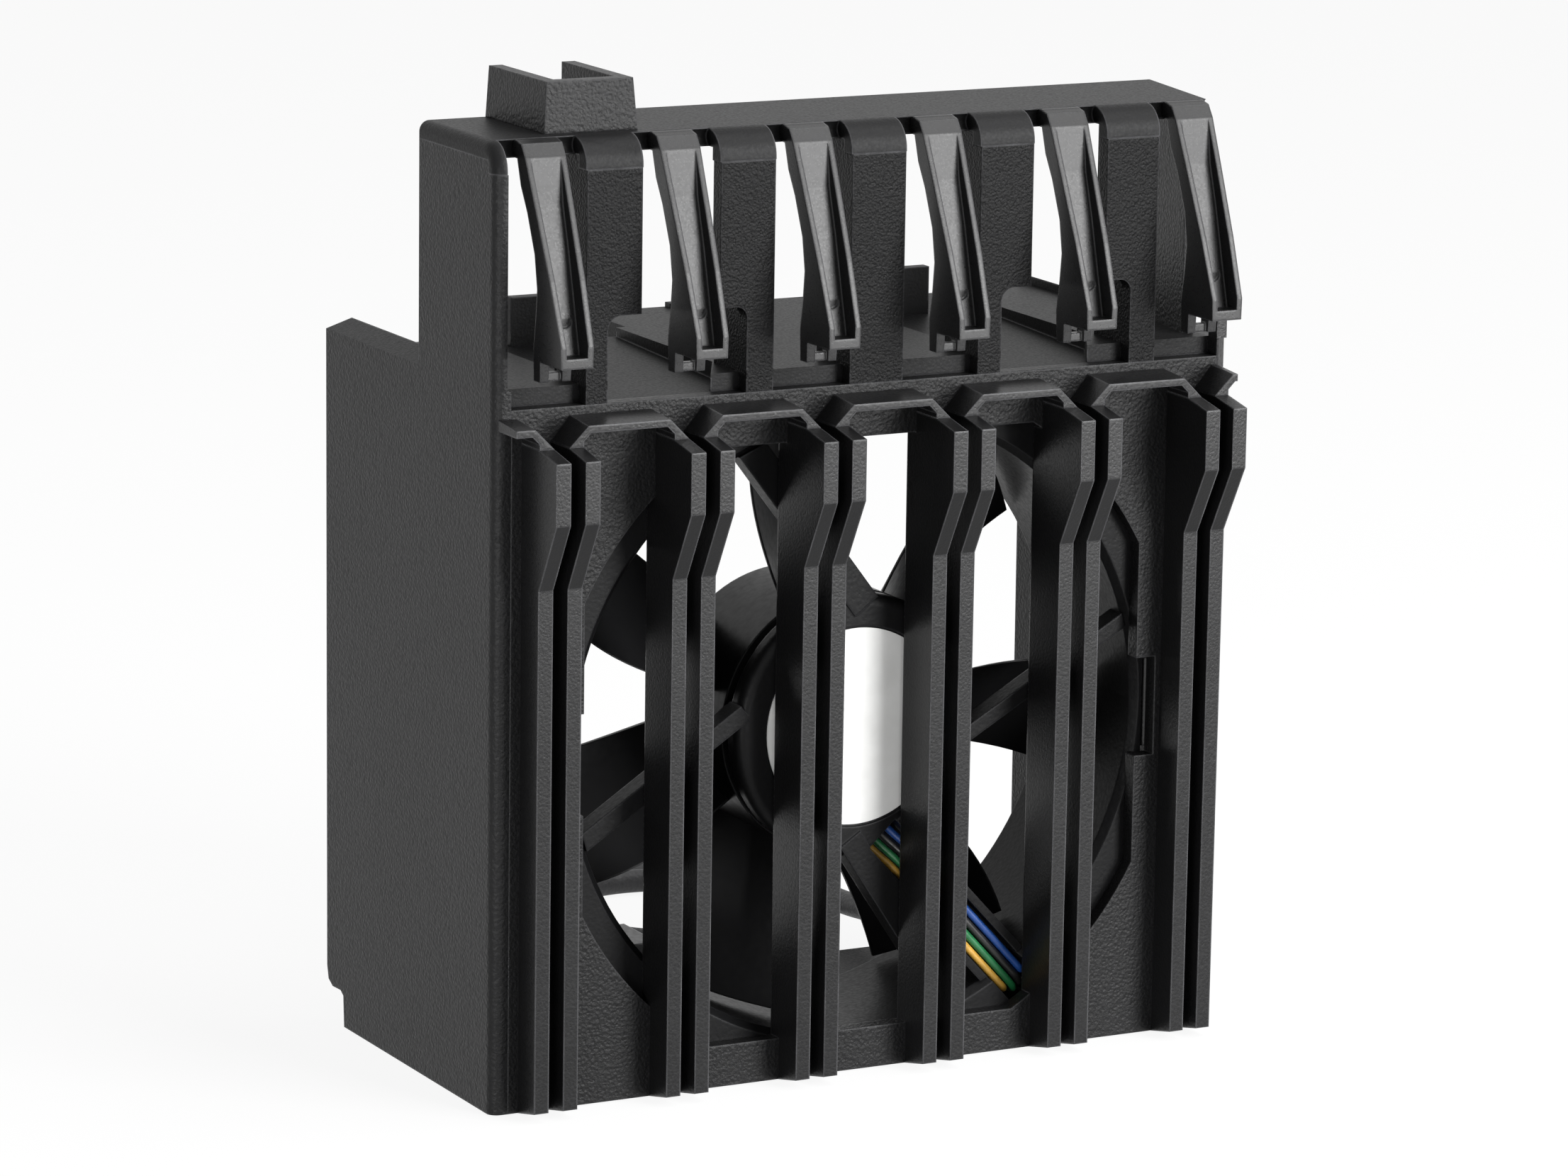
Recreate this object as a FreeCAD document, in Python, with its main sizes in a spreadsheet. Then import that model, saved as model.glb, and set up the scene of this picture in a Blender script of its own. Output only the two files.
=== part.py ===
import FreeCAD, Part
import math
import os
import re
import Sketcher

# A fan duct for six plug-in cards: a moulded housing with card guides and sprung
# guide clips on its front, and a 92 mm axial fan latched inside.
#
# Every sub-part is drawn in the panel frame, in millimetres: X from the left wall's
# outer face, Y from the front panel's face towards the rear, Z from the bottom edge.
# One shared placement then moves the origin to the bottom centre of the housing.

doc = FreeCAD.newDocument("fan_duct")
sheet = doc.addObject("Spreadsheet::Sheet", "sizes")

SIZES = {
    # housing
    "box_depth": 56.8,
    "foot_depth": 50.3,
    "wall": 2.5,
    "plate": 2.5,
    "panel_thick": 2.4,
    "origin_back": 22.8,
    "corner_chamfer": 2.2,
    "corner_round": 1.5,
    "ledge_wide": 4.0,
    "ledge_rise": 1.3,
    # panel opening
    "opening_rim": 5.0,
    "opening_left_cut": 1.7,
    "opening_right_cut": 2.4,
    "opening_low_cut": 2.8,
    "opening_high_cut": 3.7,
    "latch_window_down": 7.8,
    "latch_window_up": 6.6,
    "latch_window_left_in": 1.2,
    "latch_window_right_in": 3.1,
    # card guides
    "slot_first": 7.3,
    "slot_gap": 2.2,
    "rail_thick": 2.2,
    "rail_front": 5.5,
    "rail_mid_front": 5.8,
    "rail_lip": 11.2,
    "rail_tip": 1.2,
    "rail_top_drop": 7.1,
    "rail_nose_chamfer": 1.0,
    "rail_nose_long": 8.6,
    "rail_slope_long": 9.9,
    "arch_reach": 6.0,
    "arch_rise": 2.9,
    "arch_back_rise": 0.5,
    "arch_thick": 1.0,
    "arch_leg": 1.1,
    "arch_end_left": 0.5,
    # hood and tower
    "tower_rise": 34.0,
    "tower_depth": 24.9,
    "tower_wall": 1.9,
    "hood_round": 4.0,
    "hood_lip": 4.3,
    "hood_slant": 3.8,
    "notch_left": 5.5,
    "notch_right": 6.2,
    "notch_deep": 3.5,
    "right_wall_front": 6.0,
    "stub_wide": 1.6,
    "stub_high": 5.0,
    # window pillars
    "pillar_offset": 6.4,
    "pillar_clearance": 0.07,
    "jog_rise": 9.5,
    "foot_wide_1": 3.25,
    "foot_wide_2": 4.15,
    "foot_wide_4": 3.65,
    "foot_wide_5": 4.15,
    "flange_thick": 1.5,
    "flange_deep": 10.0,
    # shelf
    "shelf_left_deep": 41.5,
    "shelf_right_deep": 55.0,
    "recess_front_drop": 2.7,
    "recess_slope": 0.0358,
    "recess_plate": 2.0,
    "left_recess_start": 15.5,
    "left_recess_wide": 23.0,
    "left_recess_side": 1.5,
    "right_recess_margin": 17.9,
    "right_recess_wide": 21.3,
    "recess_flare": 4.6,
    "flare_deep": 11.0,
    "tab_thick": 1.8,
    "tab_rise": 5.7,
    "left_tab_inset": 5.5,
    "left_tab_wide": 9.0,
    "right_tab_inset": 4.8,
    "right_tab_wide": 7.6,
    "right_tab_front": 41.5,
    "nub_offset": 5.1,
    "nub_wide": 2.0,
    "nub_deep": 1.5,
    "nub_root": 1.0,
    "nub_high": 0.7,
    # boss on the hood
    "boss_left": 10.0,
    "boss_wide": 14.1,
    "boss_front": 6.0,
    "boss_high": 7.1,
    "boss_wall": 2.0,
    "boss_draft": 0.5,
    # guide clips
    "clip_left": 2.9,
    "clip_right": 3.2,
    "clip_tip_inset": 0.8,
    "clip_flange": 0.8,
    "clip_barrel": 1.25,
    "seat_clearance": 0.06,
    "barrel_back": 0.4,
    "clip_post_wide": 1.2,
    "clip_bar": 1.2,
    "pin_mark_radius": 1.0,
    "pin_mark_deep": 0.15,
    "pin_mark_up": 3.0,
    # fan
    "fan_side": 92.0,
    "fan_side_gap": 12.1,
    "fan_floor_gap": 3.2,
    "fan_top_gap": 3.8,
    "fan_depth": 25.4,
    "fan_corner": 4.0,
    "fan_flange": 4.2,
    "fan_tube_step": 0.1,
    "fan_rim": 1.5,
    "fan_bore_chamfer": 1.0,
    "hole_inset": 4.75,
    "hole_radius": 2.15,
    "strut_front": 0.4,
    "strut_deep": 3.4,
    "strut_root": 13.0,
    "strut_reach": 3.0,
    "lead_angle": -47.0,
    "lead_shift": 7.8,
    "lead_strut_wide": 8.0,
    "lead_channel_wide": 5.6,
    "lead_channel_deep": 2.0,
    "lead_strut_root": 15.0,
    "lead_strut_reach": 0.5,
    "lead_hole_start": 14.6,
    "lead_hole_end": 22.8,
    "lead_exit_out": 4.9,
    "base_radius": 19.0,
    "base_thick": 3.0,
    "base_front": 0.6,
    "base_round": 1.6,
    "label_radius": 14.2,
    "label_thick": 0.15,
    "label_recess": 0.5,
    "label_gap": 0.3,
    # motor
    "tube_outer": 4.6,
    "tube_inner": 4.0,
    "tube_front": 1.8,
    "tube_rear": 19.2,
    "bearing_thick": 4.0,
    "bearing_front": 3.0,
    "bearing_rear": 15.0,
    "shaft_radius": 1.5,
    "shaft_clearance": 0.03,
    "shaft_front": 1.7,
    "washer_outer": 3.4,
    "washer_thick": 0.3,
    "clip_ring_outer": 2.6,
    "clip_ring_thick": 0.4,
    "clip_ring_front": 2.2,
    "board_outer": 16.8,
    "board_thick": 1.0,
    "board_front": 4.9,
    "core_outer": 13.6,
    "core_front": 8.2,
    "core_thick": 7.0,
    "pole_wide": 5.0,
    "pole_hub": 7.0,
    "shoe_thick": 1.4,
    "coil_swell": 1.8,
    "coil_inner": 7.4,
    "coil_outer": 12.0,
    "magnet_inner": 14.2,
    "magnet_outer": 16.2,
    "magnet_front": 7.4,
    "magnet_long": 9.6,
    "yoke_outer": 17.1,
    "yoke_front": 6.4,
    "yoke_rear": 22.0,
    "yoke_plate": 0.8,
    "hub_outer": 19.0,
    "hub_front": 5.6,
    "hub_rear": 24.0,
    "hub_plate": 1.2,
    "blade_tip_gap": 0.9,
    "blade_count": 7,
    "blade_angle": 46.8,
    "blade_sweep": -0.08,
    "blade_bow": -0.011,
    "blade_front": 10.4,
    "blade_rear": 23.6,
    "blade_root_turn": 32.3,
    "blade_tip_turn": 21.5,
    "blade_root_sunk": 0.4,
    "blade_thick": 1.3,
    "blade_camber": 0.09,
    # latches
    "arm_thick": 2.3,
    "arm_side_gap": 0.3,
    "arm_down": 7.2,
    "arm_up": 5.8,
    "arm_gap": 0.12,
    "barb_reach": 2.0,
    "barb_gap": 0.3,
    "barb_long": 3.0,
    # ribs around the fan
    "rib_thick": 2.0,
    "rib_low_inset": 8.0,
    "rib_high_inset_left": 0.4,
    "rib_high_inset_right": 3.0,
    "rib_side_low": 6.0,
    "rib_side_high": 6.0,
    # lead
    "wire_radius": 0.55,
    "wire_step": 1.25,
    "wire_gather": 0.6,
    "wire_turn_in": 0.9,
    "wire_drop": 2.6,
    "wire_root": 12.8,
    "wire_dip_start": 17.2,
    "wire_dip_end": 20.4,
    "wire_gap": 0.02,
    "sleeve_radius": 1.8,
    "sleeve_front": 9.0,
    "lead_notch": 2.9,
    "coil_centre_x": 69.8,
    "coil_centre_y": 85.0,
    "coil_radius": 18.2,
    "coil_turns": 1.5,
    "coil_strand_step": 3.8,
    "plug_wide": 10.2,
    "plug_long": 11.4,
    "plug_high": 5.8,
    "tail_long": 18.6,
    "plug_hole": 0.9,
    "plug_pitch": 2.54,
}

# Sizes that follow from the ones above: the duct is built around the fan.
FORMULAS = {
    "tray_width": "fan_side + 2 * fan_side_gap",
    "fan_centre_x": "tray_width / 2",
    "fan_centre_z": "fan_floor_gap + fan_side / 2",
    "sill_height": "fan_floor_gap + fan_side + fan_top_gap",
    "box_height": "sill_height + plate",
    "tower_height": "box_height + tower_rise",
    "fan_tube": "fan_side / 2 - fan_tube_step",
    "fan_bore": "fan_side / 2 - fan_rim",
    "hole_spacing": "fan_side - 2 * hole_inset",
    "blade_tip": "fan_bore - blade_tip_gap",
    "lead_exit": "fan_bore + lead_exit_out",
    "opening_radius": "fan_bore + opening_rim",
    "opening_left": "fan_side_gap + opening_left_cut",
    "opening_right": "tray_width - fan_side_gap - opening_right_cut",
    "opening_low": "fan_floor_gap + opening_low_cut",
    "opening_high": "fan_floor_gap + fan_side - opening_high_cut",
    "latch_window_low": "fan_centre_z - latch_window_down",
    "latch_window_high": "fan_centre_z + latch_window_up",
    "latch_window_left": "opening_left - latch_window_left_in",
    "latch_window_right": "opening_right + latch_window_right_in",
    "arm_left": "fan_side_gap - arm_side_gap - arm_thick",
    "arm_right": "tray_width - fan_side_gap + arm_side_gap",
    "arm_low": "fan_centre_z - arm_down",
    "arm_high": "fan_centre_z + arm_up",
    "slot_pitch": "(tray_width - 2 * slot_first) / 5",
    "rail_top": "box_height - rail_top_drop",
    "rail_nose_high": "rail_top - rail_nose_chamfer",
    "rail_nose_low": "rail_nose_high - rail_nose_long",
    "rail_break": "rail_nose_low - rail_slope_long",
    "arch_end_right": "tray_width - wall",
    "hood_right_front": "tray_width - hood_slant",
    "pillar_first": "slot_first + pillar_offset",
    "pillar_wide": "slot_pitch - pillar_offset - notch_left - pillar_clearance",
    "pillar_jog_high": "box_height + jog_rise",
    "shelf_step": "left_recess_start + left_recess_wide + left_recess_side",
    "right_recess_start": "tray_width - right_recess_margin - right_recess_wide",
    "tab_top": "box_height + tab_rise",
    "left_tab_start": "left_recess_start + left_tab_inset",
    "right_tab_start": "right_recess_start + right_tab_inset",
    "nub_left": "tray_width / 2 - nub_offset",
}

# Outlines with many corners, kept in the sheet as name_y0, name_z0 and so on. The heel is
# measured from the foot's rear edge, and the clip's corners down from the tower's top.
OUTLINES = {
    "heel": [(0.3, 4.6), (1.3, 5.2), (4.1, 5.1), (5.6, 5.9), (6.1, 7.9)],
    "clip": [(3.1, 0.0), (1.4, 0.4), (0.2, 2.1), (-3.0, 9.1), (-7.0, 18.1), (-10.2, 26.5),
             (-10.2, 29.5), (-3.6, 29.5), (-3.4, 32.3), (-1.4, 32.3), (-1.4, 27.8),
             (-2.3, 23.6), (-2.9, 19.6), (-2.3, 14.9), (-0.2, 9.5), (1.7, 6.1), (2.7, 2.5),
             (3.1, 2.5)],
    "channel": [(0.1, 2.3), (-1.1, 8.5), (-3.3, 14.5), (-7.1, 26.5), (-7.6, 28.1),
                (-12.5, 28.1), (-12.5, 25.5), (-9.0, 18.1), (-5.0, 9.1), (-1.6, 2.1)],
    "hollow": [(-6.4, 33.5), (-6.4, 26.1), (-4.6, 23.5), (-1.0, 23.5), (-1.0, 33.5)],
}

# Fan struts, each a straight bar that passes beside the axis: its direction from +X as
# seen from the front, its distance from the axis and its width.
STRUTS = {"right": (29.8, 11.2, 2.1), "top": (127.6, 11.4, 4.4), "left": (213.0, 12.8, 2.6),
          "lower": (-56.3, 9.8, 3.8)}

CLIP_COUNT = 6
PILLAR_COUNT = 5
LEAD_NAMES = ["lead_blue", "lead_black", "lead_green", "lead_yellow"]

# Route of the sleeved lead from the fan's corner to its coil, as (x, y, z) points
# chosen by hand: rearwards, down over the duct floor, then along the ground.
LEAD_ROUTE = [
    (86.1, 11.4, 7.8),
    (86.1, 30.0, 7.9),
    (86.9, 46.0, 8.6),
    (87.8, 62.0, 6.2),
    (88.0, 81.8, 6.2),
    (87.7, 88.0, 4.2),
]

ALIASES = []


def cell(word, content):
    """Next row of the sheet: its word, and a plain number or a formula under that alias."""
    ALIASES.append(word)
    row = len(ALIASES)
    sheet.set("A%d" % row, word)
    sheet.set("B%d" % row, content)
    sheet.setAlias("B%d" % row, word)


for word, number in SIZES.items():
    cell(word, str(number))
for word, corners in OUTLINES.items():
    for index, corner in enumerate(corners):
        for axis, number in zip("yz", corner):
            cell("%s_%s%d" % (word, axis, index), str(number))
for word, numbers in STRUTS.items():
    for role, number in zip(("turn", "shift", "wide"), numbers):
        cell("strut_%s_%s" % (word, role), str(number))
for word, formula in FORMULAS.items():
    cell(word, "=" + formula)
doc.recompute()

nodes = {}
hinge_points = {}


def size(word):
    """Value of one cell, in millimetres, degrees or a plain count."""
    return float(sheet.get(word))


def bind(text):
    """Expression text with each sheet word turned into a reference to its cell."""
    return re.sub(r"[a-z][a-z0-9_]*",
                  lambda found: "sizes." + found.group(0) if found.group(0) in ALIASES else found.group(0),
                  text)


def node(item, label, shared=False):
    """Name a finished sub-part and move it to the shared origin.

    A shape that other sub-parts are cut with, or one placed by expressions, stays where
    it is, and a compound that holds it is moved instead.
    """
    source = item
    if shared or item.TypeId in ("Part::Box", "Part::Cylinder"):
        source.Label = label + "_shape"
        item = doc.addObject("Part::Compound", label + "_node")
        item.Links = [source]
    item.Label = label
    shift = FreeCAD.Vector(-size("tray_width") / 2, -size("origin_back"), 0)
    item.Placement = FreeCAD.Placement(shift, FreeCAD.Rotation()).multiply(item.Placement)
    nodes[label] = item
    return source


# primitives and booleans

def box(name, x_range, y_range, z_range):
    item = doc.addObject("Part::Box", name)
    for letter, side, limits in zip("xyz", ("Length", "Width", "Height"), (x_range, y_range, z_range)):
        item.setExpression("Placement.Base." + letter, bind(limits[0]))
        item.setExpression(side, bind("(%s) - (%s)" % (limits[1], limits[0])))
    return item


def turned_box(name, radial, half_wide, y_range, angle, shift="0"):
    """Box along a line that passes the fan's axis at a distance, at an angle from +X."""
    item = doc.addObject("Part::Box", name)
    item.setExpression("Length", bind("(%s) - (%s)" % (radial[1], radial[0])))
    item.setExpression("Width", bind("(%s) - (%s)" % (y_range[1], y_range[0])))
    item.setExpression("Height", bind("2 * (%s)" % half_wide))
    item.setExpression("Placement.Rotation.Angle", bind("-(%s)" % angle))
    item.Placement.Rotation = FreeCAD.Rotation(FreeCAD.Vector(0, 1, 0), -30)
    along = "cos((%s) * 1deg)" % angle
    across = "sin((%s) * 1deg)" % angle
    edge = "(%s + %s)" % (half_wide, shift)
    item.setExpression("Placement.Base.x", bind(
        "fan_centre_x + (%s) * %s + %s * %s" % (radial[0], along, edge, across)))
    item.setExpression("Placement.Base.y", bind(y_range[0]))
    item.setExpression("Placement.Base.z", bind(
        "fan_centre_z + (%s) * %s - %s * %s" % (radial[0], across, edge, along)))
    return item


ALONG_Y = FreeCAD.Rotation(FreeCAD.Vector(1, 0, 0), -90)
ALONG_X = FreeCAD.Rotation(FreeCAD.Vector(0, 1, 0), 90)


def rod(name, radius, start, length, turn=ALONG_Y, centre=("fan_centre_x", "fan_centre_z")):
    """Cylinder along Y through (x, z), or along X through (y, z)."""
    item = doc.addObject("Part::Cylinder", name)
    item.Placement = FreeCAD.Placement(FreeCAD.Vector(), turn)
    item.setExpression("Radius", bind(radius))
    item.setExpression("Height", bind(length))
    first, second = ("x", "y") if turn is ALONG_Y else ("y", "x")
    item.setExpression("Placement.Base." + first, bind(centre[0]))
    item.setExpression("Placement.Base.z", bind(centre[1]))
    item.setExpression("Placement.Base." + second, bind(start))
    return item


def cut(name, base, tool):
    item = doc.addObject("Part::Cut", name)
    item.Base = base
    item.Tool = tool
    return item


def fuse(name, pieces):
    item = doc.addObject("Part::MultiFuse", name)
    item.Shapes = pieces
    item.Refine = True
    return item


def common(name, first, second):
    item = doc.addObject("Part::Common", name)
    item.Base = first
    item.Tool = second
    return item


def group(name, pieces):
    """Separate solids kept together in one node."""
    item = doc.addObject("Part::Compound", name)
    item.Links = pieces
    return item


def ring(name, outer, inner, start, length):
    return cut(name, rod(name + "_outer", outer, start, length), rod(name + "_bore", inner, start, length))


# sketched bodies

def sketch_outline(body, role, corners, offset):
    """Closed outline on an origin plane, each corner placed by two sheet expressions."""
    sketch = body.newObject("Sketcher::SketchObject", body.Name + "_outline")
    origin_plane = [item for item in body.Origin.OriginFeatures if item.Role == role][0]
    sketch.AttachmentSupport = [(origin_plane, "")]
    sketch.MapMode = "FlatFace"
    sketch.setExpression("AttachmentOffset.Base.z", bind(offset))
    count = len(corners)
    for index in range(count):
        start = FreeCAD.Vector(math.cos(index), math.sin(index), 0)
        end = FreeCAD.Vector(math.cos(index + 1), math.sin(index + 1), 0)
        sketch.addGeometry(Part.LineSegment(start, end), False)
    for index in range(count):
        sketch.addConstraint(Sketcher.Constraint("Coincident", index, 2, (index + 1) % count, 1))
    for index, corner in enumerate(corners):
        for kind, text in zip(("DistanceX", "DistanceY"), corner):
            place = sketch.addConstraint(Sketcher.Constraint(kind, index, 1, 1.0))
            sketch.setExpression("Constraints[%d]" % place, bind(text))
    return sketch


def prism(name, role, corners, low, high):
    """Outline padded between two planes: YZ outlines along X, XZ along Y, XY along Z."""
    body = doc.addObject("PartDesign::Body", name)
    offset = "-(%s)" % high if role == "XZ_Plane" else low
    pad = body.newObject("PartDesign::Pad", name + "_pad")
    pad.Profile = sketch_outline(body, role, corners, offset)
    pad.setExpression("Length", bind("(%s) - (%s)" % (high, low)))
    body.Tip = pad
    return body


def hanging_corners(word):
    """Corners of an outline that hangs from the tower's top."""
    return [("%s_y%d" % (word, k), "tower_height - %s_z%d" % (word, k)) for k in range(len(OUTLINES[word]))]


def round_edges(body, radius, chosen, feature="PartDesign::Fillet"):
    """Fillet or chamfer the edges of a body that a test picks."""
    doc.recompute()
    base = body.Tip
    names = ["Edge%d" % (k + 1) for k, edge in enumerate(base.Shape.Edges) if chosen(edge)]
    dress = body.newObject(feature, body.Name + "_edges")
    dress.Base = (base, names)
    dress.setExpression("Radius" if feature == "PartDesign::Fillet" else "Size", bind(radius))
    body.Tip = dress
    doc.recompute()
    return body


def at(edge, **wanted):
    """True when both ends of an edge lie at the wanted coordinates."""
    ends = [vertex.Point for vertex in edge.Vertexes]
    return all(abs(getattr(point, axis) - value) < 1e-4 for axis, value in wanted.items() for point in ends)


# housing

def front_panel():
    plate = box("panel_plate", ("wall", "tray_width - wall"), ("0", "panel_thick"), ("0", "sill_height"))
    disc = rod("opening_disc", "opening_radius", "-1", "panel_thick + 2")
    flats = box("opening_flats", ("opening_left", "opening_right"), ("-1", "panel_thick + 1"),
                ("opening_low", "opening_high"))
    latches = box("latch_windows", ("latch_window_left", "latch_window_right"),
                  ("-1", "panel_thick + 1"), ("latch_window_low", "latch_window_high"))
    opening = fuse("panel_opening", [common("air_opening", disc, flats), latches])
    return node(cut("front_panel", plate, opening), "front_panel", shared=True)


def side_walls():
    """Both side walls, with the heel at their lower rear corners."""
    outline = [("0", "0"), ("foot_depth", "0")]
    outline += [("foot_depth + heel_y%d" % k, "heel_z%d" % k) for k in range(len(OUTLINES["heel"]))]
    outline += [("box_depth", "box_height"), ("0", "box_height")]
    left = prism("left_side_wall", "YZ_Plane", outline, "0", "wall")
    round_edges(left, "corner_round", lambda edge: at(edge, x=0, y=0))
    node(left, "left_side_wall")
    right = prism("right_side_wall", "YZ_Plane", outline, "tray_width - wall", "tray_width")
    width = size("tray_width")
    round_edges(right, "corner_chamfer", lambda edge: at(edge, x=width, y=0), "PartDesign::Chamfer")
    node(right, "right_side_wall")


def duct_floor():
    floor = box("duct_floor", ("wall", "tray_width - wall"), ("panel_thick", "foot_depth"), ("0", "plate"))
    return node(floor, "duct_floor")


def recess_floor(name, left, wide, rear):
    """Sunken strip of the shelf: plan outline with its flare, and a floor that climbs rearwards."""
    plan = [(left, "panel_thick"), ("%s + %s - recess_flare" % (left, wide), "panel_thick"),
            ("%s + %s" % (left, wide), "flare_deep"), ("%s + %s" % (left, wide), rear), (left, rear)]
    well = prism(name + "_well", "XY_Plane", plan, "sill_height - 3", "box_height + 1")
    front = "box_height - recess_front_drop"
    back = "box_height - recess_front_drop + recess_slope * ((%s) - panel_thick)" % rear
    slope = [("panel_thick", front), (rear, back), (rear, back + " - recess_plate"),
             ("panel_thick", front + " - recess_plate")]
    slab = prism(name + "_slab", "YZ_Plane", slope, left + " - 1", "%s + %s + 1" % (left, wide))
    return well, common(name, well, slab)


def duct_shelf():
    left = box("shelf_left", ("wall", "shelf_step"), ("panel_thick", "shelf_left_deep"),
               ("sill_height", "box_height"))
    right = box("shelf_right", ("shelf_step", "tray_width - wall"), ("panel_thick", "shelf_right_deep"),
                ("sill_height", "box_height"))
    nub = box("shelf_nub", ("nub_left", "nub_left + nub_wide"),
              ("shelf_right_deep - nub_deep", "shelf_right_deep"),
              ("box_height - nub_root", "box_height + nub_high"))
    wells, floors = [], []
    for side, rear in (("left", "shelf_left_deep"), ("right", "shelf_right_deep")):
        well, floor = recess_floor(side + "_recess", side + "_recess_start", side + "_recess_wide", rear)
        wells.append(well)
        floors.append(floor)
    top = cut("shelf_top", fuse("shelf_plates", [left, right, nub]), fuse("shelf_wells", wells))
    return node(fuse("duct_shelf", [top] + floors), "duct_shelf", shared=True)


def shelf_tabs(shelf):
    """Two upright tabs, one at the rear of each recess."""
    first = box("left_tab", ("left_tab_start", "left_tab_start + left_tab_wide"),
                ("shelf_left_deep - tab_thick", "shelf_left_deep"), ("sill_height", "tab_top"))
    second = box("right_tab", ("right_tab_start", "right_tab_start + right_tab_wide"),
                 ("right_tab_front", "right_tab_front + tab_thick"), ("sill_height", "tab_top"))
    return node(cut("shelf_tabs", group("tab_pair", [first, second]), shelf), "shelf_tabs")


def shoulder_ledges():
    """Low sloping strips along the tops of both side walls, behind the tower."""
    left = prism("ledge_left", "XZ_Plane",
                 [("0", "box_height"), ("ledge_wide", "box_height + ledge_rise"), ("ledge_wide", "box_height")],
                 "tower_depth", "box_depth")
    right = prism("ledge_right", "XZ_Plane",
                  [("tray_width", "box_height"), ("tray_width - ledge_wide", "box_height + ledge_rise"),
                   ("tray_width - ledge_wide", "box_height")], "tower_depth", "shelf_right_deep")
    return node(group("shoulder_ledges", [left, right]), "shoulder_ledges")


# hood, tower and window pillars

def clip_centre(index):
    return "slot_first + slot_pitch * %d" % index


def hood_body():
    """Top plate with a rounded front lip, notched for the clips, slanted at its right end."""
    section = [("0", "tower_height - hood_lip"), ("panel_thick", "tower_height - hood_lip"),
               ("panel_thick", "tower_height - plate"), ("tower_depth", "tower_height - plate"),
               ("tower_depth", "tower_height"), ("0", "tower_height")]
    plate = prism("hood_plate", "YZ_Plane", section, "0", "tray_width")
    top = size("tower_height")
    round_edges(plate, "hood_round", lambda edge: at(edge, y=0, z=top))
    low, rear = top - size("plate"), size("tower_depth")
    lip = top - size("hood_lip")
    round_edges(plate, "corner_round",
                lambda edge: at(edge, x=0) and not (at(edge, x=0, z=low) or at(edge, x=0, z=lip)
                                                    or at(edge, y=rear) or at(edge, y=size("panel_thick"))))
    corner = prism("hood_corner", "XY_Plane",
                   [("hood_right_front", "-1"), ("tray_width + 1", "-1"),
                    ("tray_width + 1", "tower_depth"), ("tray_width", "tower_depth"),
                    ("hood_right_front", "0")], "tower_height - 10", "tower_height + 1")
    tools = [corner]
    for index in range(CLIP_COUNT):
        centre = clip_centre(index)
        tools.append(box("notch_%d" % (index + 1), (centre + " - notch_left", centre + " + notch_right"),
                         ("-1", "notch_deep"), ("tower_height - 10", "tower_height + 1")))
        tools.append(rod("clip_seat_%d" % (index + 1), "clip_barrel + seat_clearance",
                         centre + " - notch_left", "notch_left + notch_right", ALONG_X,
                         ("notch_deep - barrel_back", "tower_height - clip_barrel")))
    return node(cut("hood", plate, fuse("hood_cuts", tools)), "hood", shared=True)


def tower_walls():
    outline = [("0", "box_height"), ("tower_depth", "box_height"), ("tower_depth", "tower_height - plate"),
               ("panel_thick", "tower_height - plate"), ("panel_thick", "tower_height - hood_lip"),
               ("0", "tower_height - hood_lip")]
    left = prism("tower_left", "YZ_Plane", outline, "0", "tower_wall")
    round_edges(left, "corner_round", lambda edge: at(edge, x=0, y=0))
    node(left, "tower_left_wall")
    slant = "(tray_width - hood_right_front) / tower_depth"
    front_x = "hood_right_front + right_wall_front * %s" % slant
    plan = [(front_x, "right_wall_front"), ("tray_width", "tower_depth"),
            ("tray_width - tower_wall", "tower_depth"), (front_x + " - tower_wall", "right_wall_front")]
    wall = prism("tower_right", "XY_Plane", plan, "box_height", "tower_height - plate")
    node(wall, "tower_right_wall")
    stub = box("stub", ("tray_width - wall", "tray_width - wall + stub_wide"), ("0", "panel_thick"),
               ("box_height", "box_height + stub_high"))
    node(stub, "sill_stub")


def window_pillars(hood, shelf, panel):
    """Five L-shaped posts between the hood windows; four have a low jog to one side."""
    jogs = {0: "right", 1: "left", 3: "right", 4: "left"}
    jog_z = size("pillar_jog_high")
    for index in range(PILLAR_COUNT):
        left = "pillar_first + slot_pitch * %d" % index
        right = left + " + pillar_wide"
        foot = "foot_wide_%d" % (index + 1)
        low_left, low_right = left, right
        if jogs.get(index) == "left":
            low_left = "%s - %s" % (right, foot)
        if jogs.get(index) == "right":
            low_right = "%s + %s" % (left, foot)
        corners = [(low_left, "sill_height"), (low_right, "sill_height"), (low_right, "pillar_jog_high"),
                   (right, "pillar_jog_high"), (right, "tower_height - hood_lip"),
                   (left, "tower_height - hood_lip"), (left, "pillar_jog_high"),
                   (low_left, "pillar_jog_high")]
        if index not in jogs:
            corners = corners[:2] + corners[4:6]
        elif jogs[index] == "left":
            corners = corners[:2] + corners[4:]
        else:
            corners = corners[:6]
        face = prism("pillar_face_%d" % (index + 1), "XZ_Plane", corners, "0", "panel_thick")
        if index in jogs:
            inner_x = size("pillar_first") + size("slot_pitch") * index
            inner_x += size(foot) if jogs[index] == "right" else size("pillar_wide") - size(foot)
            round_edges(face, "0.4 * (pillar_wide - %s)" % foot,
                        lambda edge, x=inner_x: at(edge, x=x, z=jog_z))
        flange = box("pillar_flange_%d" % (index + 1), (low_left, low_left + " + flange_thick"),
                     ("panel_thick / 2", "flange_deep"), ("sill_height", "tower_height - plate"))
        post = fuse("pillar_post_%d" % (index + 1), [face, flange])
        clear = cut("pillar_clear_%d" % (index + 1), post, shelf)
        panel_part = cut("pillar_foot_%d" % (index + 1), clear, panel)
        name = "window_pillar_%d" % (index + 1)
        node(cut(name, panel_part, hood), name)


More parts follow.
